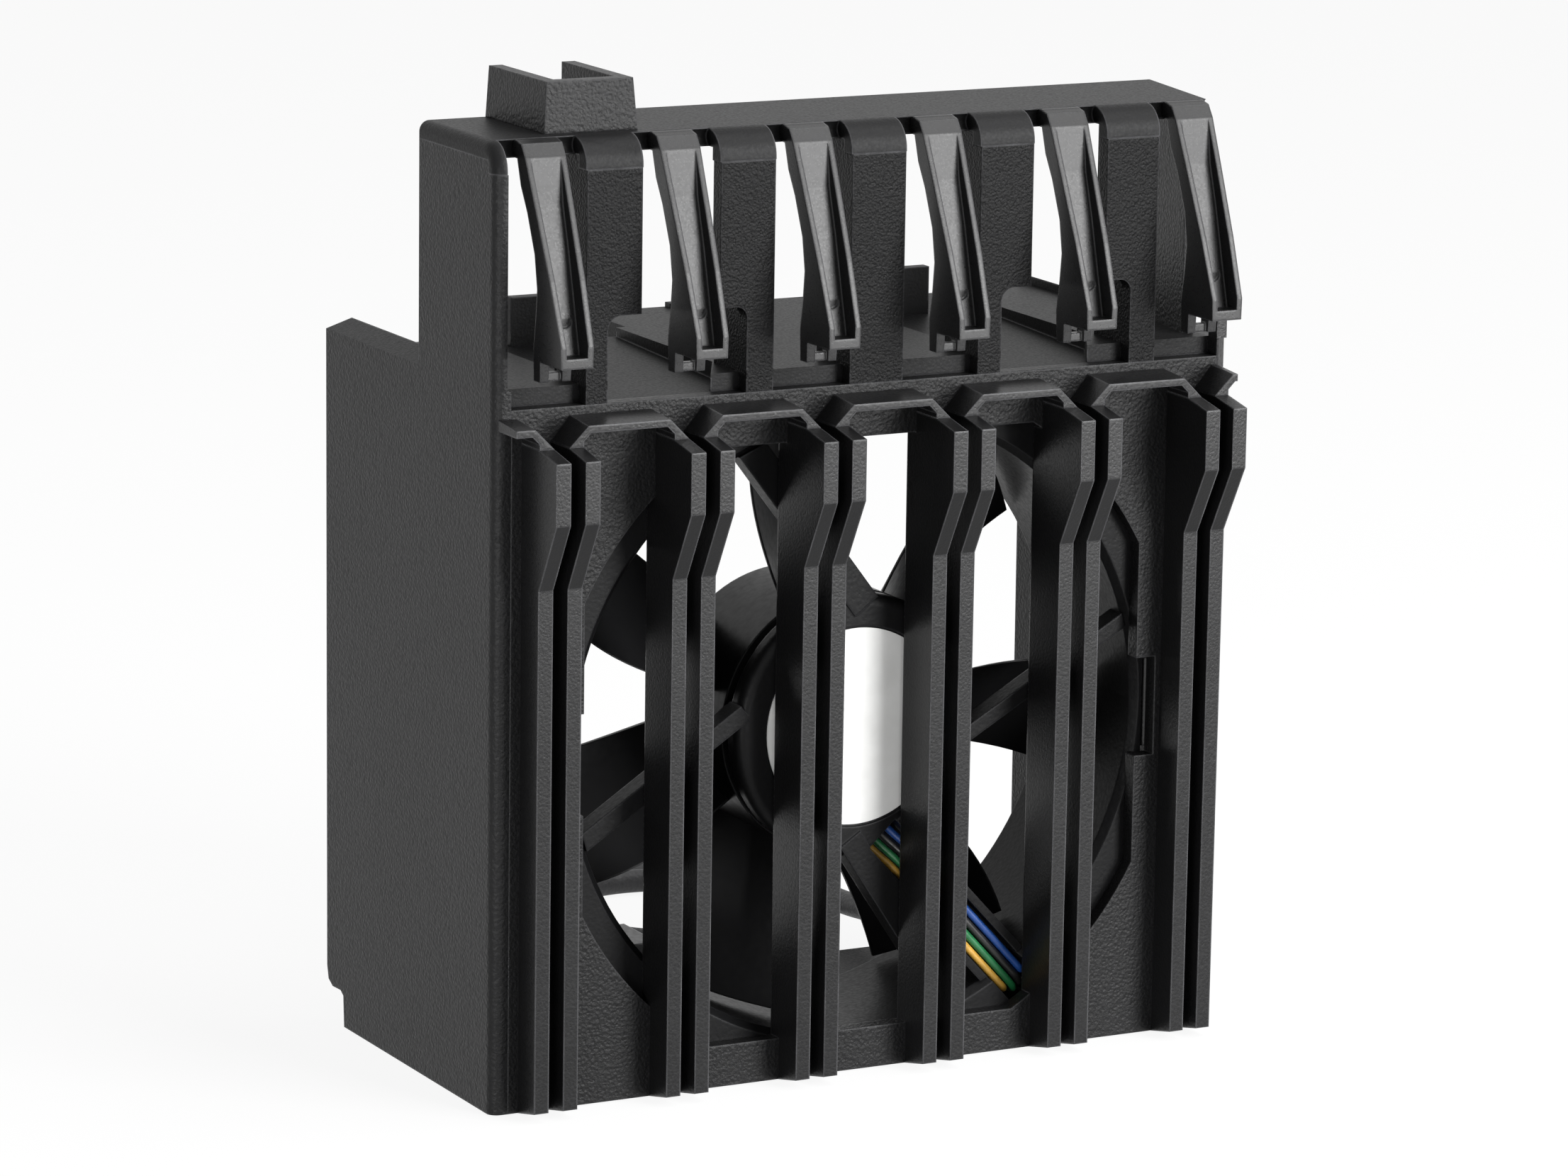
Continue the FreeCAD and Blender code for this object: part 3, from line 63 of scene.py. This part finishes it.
# Lead: its route from the fan's corner, then the coil behind the duct, in millimetres.
LEAD_ROUTE = [
    (28.0, -11.4, 7.8),
    (28.0, 7.2, 7.9),
    (28.8, 23.2, 8.6),
    (29.7, 39.2, 6.2),
    (29.9, 59.0, 6.2),
    (29.6, 65.2, 4.2),
]
LEAD_DIAMETER = 3.6
COIL_CENTRE = (11.7, 62.2)
COIL_RADIUS = 18.2
COIL_STEP = 3.8
COIL_TURNS = 1.5
COIL_POINTS_PER_TURN = 20
LANDING_LIFT = 2.4
LANDING_ANGLE = math.radians(60)
TAIL_LONG = 18.6

# Studio: strengths as seen directly and as light, and the lamps, each with its place, the
# point that it faces, its two sides and its power.
WHITE_STRENGTH = 1.0
WORLD_LIGHT = 0.32
FLOOR_HALF_SIDE = 4.0
FLOOR_BELOW = 0.2 * MM
FLOOR_WHITE_SHARE = 0.9
MIDDLE = (0, 0, 0.07)
LAMPS = [
    ("overhead_right", (0.4, -0.25, 0.95), MIDDLE, (0.6, 0.6), 5.5),
    ("front_right_high", (0.5, -0.87, 0.52), (0, 0, 0.1), (0.6, 0.5), 16),
    ("front_low", (0.45, -0.9, 0.08), (0, 0, 0.03), (0.35, 0.16), 6),
    ("low_left", (-0.42, -0.4, 0.02), (-0.05, 0, 0.03), (0.2, 0.12), 1.6),
]


def place_camera():
    data = bpy.data.cameras.new("photo_camera")
    data.sensor_width = 36
    data.lens = CAMERA_LENS
    data.clip_start = 0.05
    data.clip_end = 20
    camera = bpy.data.objects.new("photo_camera", data)
    turn = Matrix.Rotation(-CAMERA_YAW, 4, "Z")
    turn = turn @ Matrix.Rotation(math.pi / 2 - CAMERA_DOWN, 4, "X")
    turn = turn @ Matrix.Rotation(CAMERA_ROLL, 4, "Z")
    camera.matrix_world = Matrix.Translation(CAMERA_PLACE) @ turn
    scene.collection.objects.link(camera)
    scene.camera = camera


def coil_point(angle):
    """Point of the coil, whose last half turn lies outside its first, one step apart."""
    growth = min(max((angle - math.pi) / math.pi, 0), 1)
    radius = COIL_RADIUS + COIL_STEP * growth
    landing = LANDING_LIFT * max(0, 1 - angle / LANDING_ANGLE)
    return (COIL_CENTRE[0] + radius * math.cos(angle),
            COIL_CENTRE[1] + radius * math.sin(angle),
            LEAD_DIAMETER / 2 + landing)


def lead_points():
    points = list(LEAD_ROUTE)
    steps = int(COIL_TURNS * COIL_POINTS_PER_TURN)
    for k in range(1, steps + 1):
        points.append(coil_point(2 * math.pi * k / COIL_POINTS_PER_TURN))
    x, y, z = points[-1]
    points.append((x, y - TAIL_LONG / 2, z))
    points.append((x, y - TAIL_LONG, z))
    return [Vector(point) * MM for point in points]


def sleeved_lead():
    """Sleeved lead from the fan's corner to its plug, on one smooth curve.

    The points carry the radius, because a curve's bounds are grown by it."""
    curve = bpy.data.curves.new("sleeved_lead", "CURVE")
    curve.dimensions = "3D"
    curve.bevel_depth = 1.0
    curve.bevel_resolution = 6
    curve.resolution_u = 10
    curve.use_fill_caps = True
    points = lead_points()
    spline = curve.splines.new("NURBS")
    spline.points.add(len(points) - 1)
    for point, place in zip(spline.points, points):
        point.co = (*place, 1)
        point.radius = LEAD_DIAMETER / 2 * MM
    spline.order_u = 3
    spline.use_endpoint_u = True
    lead = bpy.data.objects.new("sleeved_lead", curve)
    scene.collection.objects.link(lead)
    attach(lead, "housing")
    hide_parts("lead_sleeve", "lead_coil", "lead_tail")
    return lead


# Material helpers

def new_material(name):
    """Empty node material with an output, a Principled BSDF and Object coordinates."""
    material = bpy.data.materials.new(name)
    material.use_nodes = True
    tree = material.node_tree
    tree.nodes.clear()
    output = tree.nodes.new("ShaderNodeOutputMaterial")
    shader = tree.nodes.new("ShaderNodeBsdfPrincipled")
    tree.links.new(shader.outputs["BSDF"], output.inputs["Surface"])
    coordinates = tree.nodes.new("ShaderNodeTexCoord")
    return material, tree, shader, coordinates.outputs["Object"]


def noise(tree, coordinates, scale, detail=2.0, roughness=0.5):
    texture = tree.nodes.new("ShaderNodeTexNoise")
    texture.inputs["Scale"].default_value = scale
    texture.inputs["Detail"].default_value = detail
    texture.inputs["Roughness"].default_value = roughness
    tree.links.new(coordinates, texture.inputs["Vector"])
    return texture.outputs["Fac"]


def remap(tree, value, low, high, to_low, to_high):
    node = tree.nodes.new("ShaderNodeMapRange")
    node.inputs["From Min"].default_value = low
    node.inputs["From Max"].default_value = high
    node.inputs["To Min"].default_value = to_low
    node.inputs["To Max"].default_value = to_high
    tree.links.new(value, node.inputs["Value"])
    return node.outputs["Result"]


def blend_colours(tree, factor, first, second):
    node = tree.nodes.new("ShaderNodeMix")
    node.data_type = "RGBA"
    node.inputs["A"].default_value = (*first, 1)
    node.inputs["B"].default_value = (*second, 1)
    tree.links.new(factor, node.inputs["Factor"])
    return node.outputs["Result"]


def bump(tree, height, distance, strength=1.0, normal=None):
    node = tree.nodes.new("ShaderNodeBump")
    node.inputs["Distance"].default_value = distance
    node.inputs["Strength"].default_value = strength
    tree.links.new(height, node.inputs["Height"])
    if normal is not None:
        tree.links.new(normal, node.inputs["Normal"])
    return node.outputs["Normal"]


def group_tree(name, inputs, outputs):
    """New shader group with named sockets, each given as (name, kind, default)."""
    tree = bpy.data.node_groups.new(name, "ShaderNodeTree")
    for socket_name, kind, value in inputs:
        socket = tree.interface.new_socket(socket_name, in_out="INPUT", socket_type=kind)
        if value is not None:
            socket.default_value = value
    for socket_name, kind in outputs:
        tree.interface.new_socket(socket_name, in_out="OUTPUT", socket_type=kind)
    entry = tree.nodes.new("NodeGroupInput")
    leave = tree.nodes.new("NodeGroupOutput")
    return tree, entry.outputs, leave.inputs


def math_node(tree, operation, first, second):
    """Result of two values or sockets. Products and differences are held between 0 and 1."""
    node = tree.nodes.new("ShaderNodeMath")
    node.operation = operation
    node.use_clamp = operation in ("MULTIPLY", "SUBTRACT")
    for socket, value in zip(node.inputs, (first, second)):
        if isinstance(value, (int, float)):
            socket.default_value = value
        else:
            tree.links.new(value, socket)
    return node.outputs["Value"]


def spark_grain_group():
    """Fine grain of a spark-eroded mould: its height, a mask of its peaks, and a slow drift."""
    tree, entry, leave = group_tree(
        "spark_grain",
        [("Vector", "NodeSocketVector", None), ("Pit Size", "NodeSocketFloat", 0.45 * MM)],
        [("Height", "NodeSocketFloat"), ("Peaks", "NodeSocketFloat"),
         ("Drift", "NodeSocketFloat")])
    scale = math_node(tree, "DIVIDE", 1.0, entry["Pit Size"])
    pits = tree.nodes.new("ShaderNodeTexVoronoi")
    pits.feature = "SMOOTH_F1"
    pits.inputs["Smoothness"].default_value = 0.6
    tree.links.new(entry["Vector"], pits.inputs["Vector"])
    tree.links.new(scale, pits.inputs["Scale"])
    fine = tree.nodes.new("ShaderNodeTexNoise")
    fine.inputs["Detail"].default_value = 3
    fine.inputs["Roughness"].default_value = 0.65
    tree.links.new(entry["Vector"], fine.inputs["Vector"])
    tree.links.new(scale, fine.inputs["Scale"])
    height = math_node(tree, "ADD", math_node(tree, "MULTIPLY", fine.outputs["Fac"], 0.7),
                       math_node(tree, "MULTIPLY", pits.outputs["Distance"], 0.5))
    tree.links.new(height, leave["Height"])
    tree.links.new(remap(tree, height, 0.4, 0.85, 0, 1), leave["Peaks"])
    drift = noise(tree, entry["Vector"], 28, 3)
    tree.links.new(drift, leave["Drift"])
    return tree


def edge_group():
    """Softened normal and a mask that is 1 on sharp edges, both left off along the seam. The mask
    sets where a painted highlight lightens the base colour and where the roughness is lowered.
    """
    tree, entry, leave = group_tree(
        "edge_softening",
        [("Vector", "NodeSocketVector", None), ("Seam", "NodeSocketFloat", SEAM_HEIGHT)],
        [("Normal", "NodeSocketVector"), ("Edge", "NodeSocketFloat")])
    soft = tree.nodes.new("ShaderNodeBevel")
    soft.samples = 6
    soft.inputs["Radius"].default_value = 0.4 * MM
    geometry = tree.nodes.new("ShaderNodeNewGeometry")
    across = tree.nodes.new("ShaderNodeVectorMath")
    across.operation = "DOT_PRODUCT"
    tree.links.new(soft.outputs["Normal"], across.inputs[0])
    tree.links.new(geometry.outputs["Normal"], across.inputs[1])
    bend = math_node(tree, "SUBTRACT", 1.0, across.outputs["Value"])
    # Painted highlight along sharp edges: how far the softened normal bends away from the true
    # one, broken up by noise.
    highlight_breakup = noise(tree, entry["Vector"], 260, 3)
    edge_highlight_mask = math_node(tree, "MULTIPLY", remap(tree, bend, 0.01, 0.12, 0, 1),
                       remap(tree, highlight_breakup, 0.3, 0.7, 0.5, 1))
    place = tree.nodes.new("ShaderNodeSeparateXYZ")
    tree.links.new(entry["Vector"], place.inputs["Vector"])
    at_seam = math_node(tree, "COMPARE", place.outputs["Z"], entry["Seam"])
    at_seam.node.inputs[2].default_value = 0.6 * MM
    facing = tree.nodes.new("ShaderNodeMix")
    facing.data_type = "VECTOR"
    tree.links.new(at_seam, facing.inputs["Factor"])
    tree.links.new(soft.outputs["Normal"], facing.inputs["A"])
    tree.links.new(geometry.outputs["Normal"], facing.inputs["B"])
    tree.links.new(facing.outputs["Result"], leave["Normal"])
    tree.links.new(math_node(tree, "SUBTRACT", edge_highlight_mask, at_seam), leave["Edge"])
    return tree


GRAIN = spark_grain_group()
EDGES = edge_group()


def place_group(tree, group, coordinates, **values):
    """Outputs of a group placed in a material. Pit_Size sets the input Pit Size, and so on."""
    node = tree.nodes.new("ShaderNodeGroup")
    node.node_tree = group
    tree.links.new(coordinates, node.inputs["Vector"])
    for word, value in values.items():
        node.inputs[word.replace("_", " ")].default_value = value
    return node.outputs


def moulded_plastic(name, base, rough, pit_size, pit_depth, edge_highlight_lift=1.9, specular=0.5):
    """Black moulded plastic: grain, slow tone drift, slightly polished edges with lower roughness,
    and a painted highlight that lightens the base colour along edges.
    """
    material, tree, shader, coordinates = new_material(name)
    grain = place_group(tree, GRAIN, coordinates, Pit_Size=pit_size)
    edges = place_group(tree, EDGES, coordinates)
    dark = tuple(channel * 0.82 for channel in base)
    light = tuple(channel * 1.25 for channel in base)
    tone = blend_colours(tree, remap(tree, grain["Drift"], 0.3, 0.7, 0, 1), dark, light)
    # Painted highlight: the base colour is made several times lighter along sharp edges. It stands
    # in for the gloss of rounded edges.
    painted_edge_highlight = tree.nodes.new("ShaderNodeMix")
    painted_edge_highlight.data_type = "RGBA"
    painted_edge_highlight.inputs["B"].default_value = (*(channel * edge_highlight_lift for channel in base), 1)
    tree.links.new(edges["Edge"], painted_edge_highlight.inputs["Factor"])
    tree.links.new(tone, painted_edge_highlight.inputs["A"])
    tree.links.new(painted_edge_highlight.outputs["Result"], shader.inputs["Base Color"])
    surface_rough = remap(tree, grain["Peaks"], 0, 1, rough - 0.06, rough + 0.06)
    polish = math_node(tree, "MULTIPLY", edges["Edge"], 0.12)
    polished = math_node(tree, "SUBTRACT", surface_rough, polish)
    tree.links.new(polished, shader.inputs["Roughness"])
    shader.inputs["Specular IOR Level"].default_value = specular
    pitted = bump(tree, grain["Height"], pit_depth, normal=edges["Normal"])
    tree.links.new(pitted, shader.inputs["Normal"])
    return material


def metal(name, base, rough, stretch=(1, 1, 1)):
    """Metal with fine turning or rolling lines along one direction."""
    material, tree, shader, coordinates = new_material(name)
    mapping = tree.nodes.new("ShaderNodeMapping")
    mapping.inputs["Scale"].default_value = stretch
    tree.links.new(coordinates, mapping.inputs["Vector"])
    lines = noise(tree, mapping.outputs["Vector"], 900, 2)
    stain = noise(tree, coordinates, 120, 3)
    tone = blend_colours(tree, remap(tree, stain, 0.3, 0.7, 0, 1),
                         tuple(channel * 0.85 for channel in base), base)
    tree.links.new(tone, shader.inputs["Base Color"])
    shader.inputs["Metallic"].default_value = 1
    surface_rough = remap(tree, lines, 0.3, 0.7, rough - 0.07, rough + 0.07)
    tree.links.new(surface_rough, shader.inputs["Roughness"])
    tree.links.new(bump(tree, lines, 0.02 * MM, 0.5), shader.inputs["Normal"])
    return material


def extruded_insulation(name, base):
    """Soft wire insulation with faint lengthwise variation."""
    material, tree, shader, coordinates = new_material(name)
    spots = noise(tree, coordinates, 700, 2)
    tone = blend_colours(tree, remap(tree, spots, 0.35, 0.65, 0, 1),
                         tuple(channel * 0.8 for channel in base), base)
    tree.links.new(tone, shader.inputs["Base Color"])
    tree.links.new(remap(tree, spots, 0.3, 0.7, 0.33, 0.46), shader.inputs["Roughness"])
    tree.links.new(bump(tree, spots, 0.02 * MM, 0.4), shader.inputs["Normal"])
    return material


def label_film():
    """White film with a soft sheen and faint unevenness, left bare."""
    material, tree, shader, coordinates = new_material("label_film")
    cloud = noise(tree, coordinates, 160, 3)
    tone = blend_colours(tree, remap(tree, cloud, 0.3, 0.7, 0, 1),
                         (0.55, 0.55, 0.54), (0.64, 0.64, 0.63))
    tree.links.new(tone, shader.inputs["Base Color"])
    tree.links.new(remap(tree, cloud, 0.3, 0.7, 0.38, 0.5), shader.inputs["Roughness"])
    tree.links.new(bump(tree, cloud, 0.04 * MM, 0.4), shader.inputs["Normal"])
    return material


def winding_copper():
    """Enamelled wire, wound in close turns."""
    material, tree, shader, coordinates = new_material("winding_copper")
    turns = tree.nodes.new("ShaderNodeTexWave")
    turns.bands_direction = "Y"
    turns.inputs["Scale"].default_value = 900
    turns.inputs["Distortion"].default_value = 0.6
    tree.links.new(coordinates, turns.inputs["Vector"])
    tone = blend_colours(tree, turns.outputs["Fac"], (0.28, 0.09, 0.03), (0.62, 0.27, 0.12))
    tree.links.new(tone, shader.inputs["Base Color"])
    shader.inputs["Metallic"].default_value = 0.7
    tree.links.new(remap(tree, turns.outputs["Fac"], 0, 1, 0.42, 0.28), shader.inputs["Roughness"])
    tree.links.new(bump(tree, turns.outputs["Fac"], 0.08 * MM, 0.8), shader.inputs["Normal"])
    return material


def circuit_board():
    """Green solder mask with faint tracks below it."""
    material, tree, shader, coordinates = new_material("circuit_board")
    tracks = tree.nodes.new("ShaderNodeTexBrick")
    tracks.inputs["Scale"].default_value = 180
    tracks.inputs["Mortar Size"].default_value = 0.03
    tracks.inputs["Color1"].default_value = (0.015, 0.13, 0.05, 1)
    tracks.inputs["Color2"].default_value = (0.02, 0.16, 0.06, 1)
    tracks.inputs["Mortar"].default_value = (0.01, 0.08, 0.03, 1)
    tree.links.new(coordinates, tracks.inputs["Vector"])
    tree.links.new(tracks.outputs["Color"], shader.inputs["Base Color"])
    weave = noise(tree, coordinates, 1500, 2)
    tree.links.new(remap(tree, weave, 0.3, 0.7, 0.25, 0.4), shader.inputs["Roughness"])
    tree.links.new(bump(tree, tracks.outputs["Fac"], 0.03 * MM, 0.5), shader.inputs["Normal"])
    return material


def braided_sleeving():
    """Black sleeving on the lead, with a fine woven surface."""
    material, tree, shader, coordinates = new_material("braided_sleeving")
    weave = tree.nodes.new("ShaderNodeTexVoronoi")
    weave.inputs["Scale"].default_value = 1700
    tree.links.new(coordinates, weave.inputs["Vector"])
    strands = weave.outputs["Distance"]
    tone = blend_colours(tree, strands, (0.012, 0.012, 0.013), (0.035, 0.035, 0.037))
    tree.links.new(tone, shader.inputs["Base Color"])
    tree.links.new(remap(tree, strands, 0, 0.6, 0.45, 0.62), shader.inputs["Roughness"])
    tree.links.new(bump(tree, strands, 0.1 * MM, 0.6), shader.inputs["Normal"])
    return material


def paint(material, *names):
    for name in names:
        slots = nodes[name].data.materials
        slots.clear()
        slots.append(material)


def numbered(word, count):
    return ["%s_%d" % (word, k) for k in range(1, count + 1)]


def finish_housing():
    textured = moulded_plastic("spark_textured_plastic", TEXTURED_BLACK, rough=0.42,
                               pit_size=0.5 * MM, pit_depth=0.14 * MM, edge_highlight_lift=6.0,
                               specular=0.16)
    paint(textured, "front_panel", "left_side_wall", "right_side_wall", "hood_boss",
          "tower_left_wall", "tower_right_wall")
    deep = moulded_plastic("deep_textured_plastic", PILLAR_BLACK, rough=0.36,
                           pit_size=0.38 * MM, pit_depth=0.14 * MM, edge_highlight_lift=12.0,
                           specular=0.08)
    paint(deep, *numbered("window_pillar", 5))
    fine = moulded_plastic("fine_moulded_plastic", SMOOTH_BLACK, rough=0.34,
                           pit_size=0.4 * MM, pit_depth=0.03 * MM, edge_highlight_lift=14.0,
                           specular=0.22)
    paint(fine, "sill_stub", "guide_arches", "fan_ribs", *numbered("card_guide", 6))
    flat = moulded_plastic("flat_moulded_plastic", SMOOTH_BLACK, rough=0.48,
                           pit_size=0.4 * MM, pit_depth=0.04 * MM, edge_highlight_lift=14.0,
                           specular=0.12)
    paint(flat, "hood", "duct_floor", "duct_shelf", "shelf_tabs", "shoulder_ledges")
    satin = moulded_plastic("satin_clip_plastic", SMOOTH_BLACK, rough=0.33,
                            pit_size=0.3 * MM, pit_depth=0.007 * MM, edge_highlight_lift=8.0,
                            specular=0.3)
    paint(satin, *numbered("guide_clip", 6), "left_latch_arm", "right_latch_arm")


def finish_fan():
    casing = moulded_plastic("fan_frame_plastic", FAN_BLACK, rough=0.4, pit_size=0.6 * MM,
                             pit_depth=0.03 * MM, edge_highlight_lift=5.0, specular=0.1)
    paint(casing, "fan_frame", "fan_spider")
    blades = moulded_plastic("impeller_plastic", FAN_BLACK, rough=0.34, pit_size=1.0 * MM,
                             pit_depth=0.01 * MM, specular=0.12)
    paint(blades, "impeller")
    paint(label_film(), "hub_label")
    brass = metal("turned_brass", (0.72, 0.52, 0.25), rough=0.28, stretch=(1, 12, 1))
    paint(brass, "bearing_tube", "plug_contacts")
    ground = metal("ground_steel", (0.62, 0.62, 0.64), rough=0.2, stretch=(1, 14, 1))
    paint(ground, "front_bearing", "rear_bearing", "rotor_shaft", "preload_washer",
          "retaining_clip")
    paint(metal("stamped_steel", (0.42, 0.42, 0.44), rough=0.36), "rotor_yoke")
    laminations = metal("core_laminations", (0.34, 0.34, 0.36), rough=0.42,
                        stretch=(0.2, 14, 0.2))
    paint(laminations, "stator_core")
    ferrite = moulded_plastic("magnet_ferrite", (0.03, 0.03, 0.032), rough=0.6,
                              pit_size=0.4 * MM, pit_depth=0.03 * MM)
    paint(ferrite, "magnet_ring")
    paint(winding_copper(), "stator_coils")
    paint(circuit_board(), "motor_board")


def finish_lead(lead):
    paint(extruded_insulation("blue_insulation", (0.012, 0.06, 0.25)), "lead_blue")
    paint(extruded_insulation("black_insulation", (0.012, 0.012, 0.012)), "lead_black")
    paint(extruded_insulation("green_insulation", (0.012, 0.14, 0.045)), "lead_green")
    paint(extruded_insulation("yellow_insulation", (0.48, 0.27, 0.04)), "lead_yellow")
    lead.data.materials.append(braided_sleeving())
    nylon = moulded_plastic("plug_nylon", (0.03, 0.03, 0.031), rough=0.45, pit_size=0.8 * MM,
                            pit_depth=0.02 * MM)
    paint(nylon, "fan_plug")


# Studio

def seen_directly(tree):
    """1 for the camera and for what gloss and glass show, 0 for the light on the object."""
    path = tree.nodes.new("ShaderNodeLightPath")
    seen = math_node(tree, "ADD", path.outputs["Is Camera Ray"], path.outputs["Is Glossy Ray"])
    seen = math_node(tree, "ADD", seen, path.outputs["Is Transmission Ray"])
    return math_node(tree, "MINIMUM", seen, 1.0)


def light_world():
    world = bpy.data.worlds.new("studio_world")
    world.use_nodes = True
    tree = world.node_tree
    tree.nodes.clear()
    output = tree.nodes.new("ShaderNodeOutputWorld")
    light = tree.nodes.new("ShaderNodeBackground")
    light.inputs["Color"].default_value = (1, 1, 1, 1)
    light.inputs["Strength"].default_value = WORLD_LIGHT
    white = tree.nodes.new("ShaderNodeBackground")
    white.inputs["Color"].default_value = (1, 1, 1, 1)
    white.inputs["Strength"].default_value = WHITE_STRENGTH
    mix = tree.nodes.new("ShaderNodeMixShader")
    tree.links.new(seen_directly(tree), mix.inputs["Fac"])
    tree.links.new(light.outputs["Background"], mix.inputs[1])
    tree.links.new(white.outputs["Background"], mix.inputs[2])
    tree.links.new(mix.outputs["Shader"], output.inputs["Surface"])
    scene.world = world


def lay_floor():
    """Plain pale floor that shows white to the camera and keeps a soft shadow."""
    mesh = bpy.data.meshes.new("floor")
    shape = bmesh.new()
    bmesh.ops.create_grid(shape, x_segments=1, y_segments=1, size=FLOOR_HALF_SIDE)
    bmesh.ops.translate(shape, verts=shape.verts, vec=(0, 0, -FLOOR_BELOW))
    shape.to_mesh(mesh)
    shape.free()
    floor = bpy.data.objects.new("floor", mesh)
    scene.collection.objects.link(floor)
    material, tree, shader, coordinates = new_material("pale_floor")
    cloud = noise(tree, coordinates, 3, 2)
    tone = blend_colours(tree, cloud, (0.86, 0.86, 0.86), (0.9, 0.9, 0.9))
    tree.links.new(tone, shader.inputs["Base Color"])
    shader.inputs["Roughness"].default_value = 0.9
    glow = tree.nodes.new("ShaderNodeEmission")
    glow.inputs["Strength"].default_value = WHITE_STRENGTH
    mix = tree.nodes.new("ShaderNodeMixShader")
    share = math_node(tree, "MULTIPLY", seen_directly(tree), FLOOR_WHITE_SHARE)
    tree.links.new(share, mix.inputs["Fac"])
    tree.links.new(shader.outputs["BSDF"], mix.inputs[1])
    tree.links.new(glow.outputs["Emission"], mix.inputs[2])
    output = [node for node in tree.nodes if node.type == "OUTPUT_MATERIAL"][0]
    tree.links.new(mix.outputs["Shader"], output.inputs["Surface"])
    floor.data.materials.append(material)


def area_light(name, place, target, size, power):
    data = bpy.data.lights.new(name, "AREA")
    data.shape = "RECTANGLE"
    data.size, data.size_y = size
    data.energy = power
    lamp = bpy.data.objects.new(name, data)
    lamp.location = place
    lamp.rotation_euler = (Vector(target) - Vector(place)).to_track_quat("-Z", "Y").to_euler()
    scene.collection.objects.link(lamp)


def light_studio():
    """Soft lamps: overhead, high front right for the clips, low in front, low at the left."""
    for name, place, target, size, power in LAMPS:
        area_light(name, place, target, size, power)


place_camera()
lead = sleeved_lead()
finish_housing()
finish_fan()
finish_lead(lead)
light_world()
lay_floor()
light_studio()

bpy.context.view_layer.update()
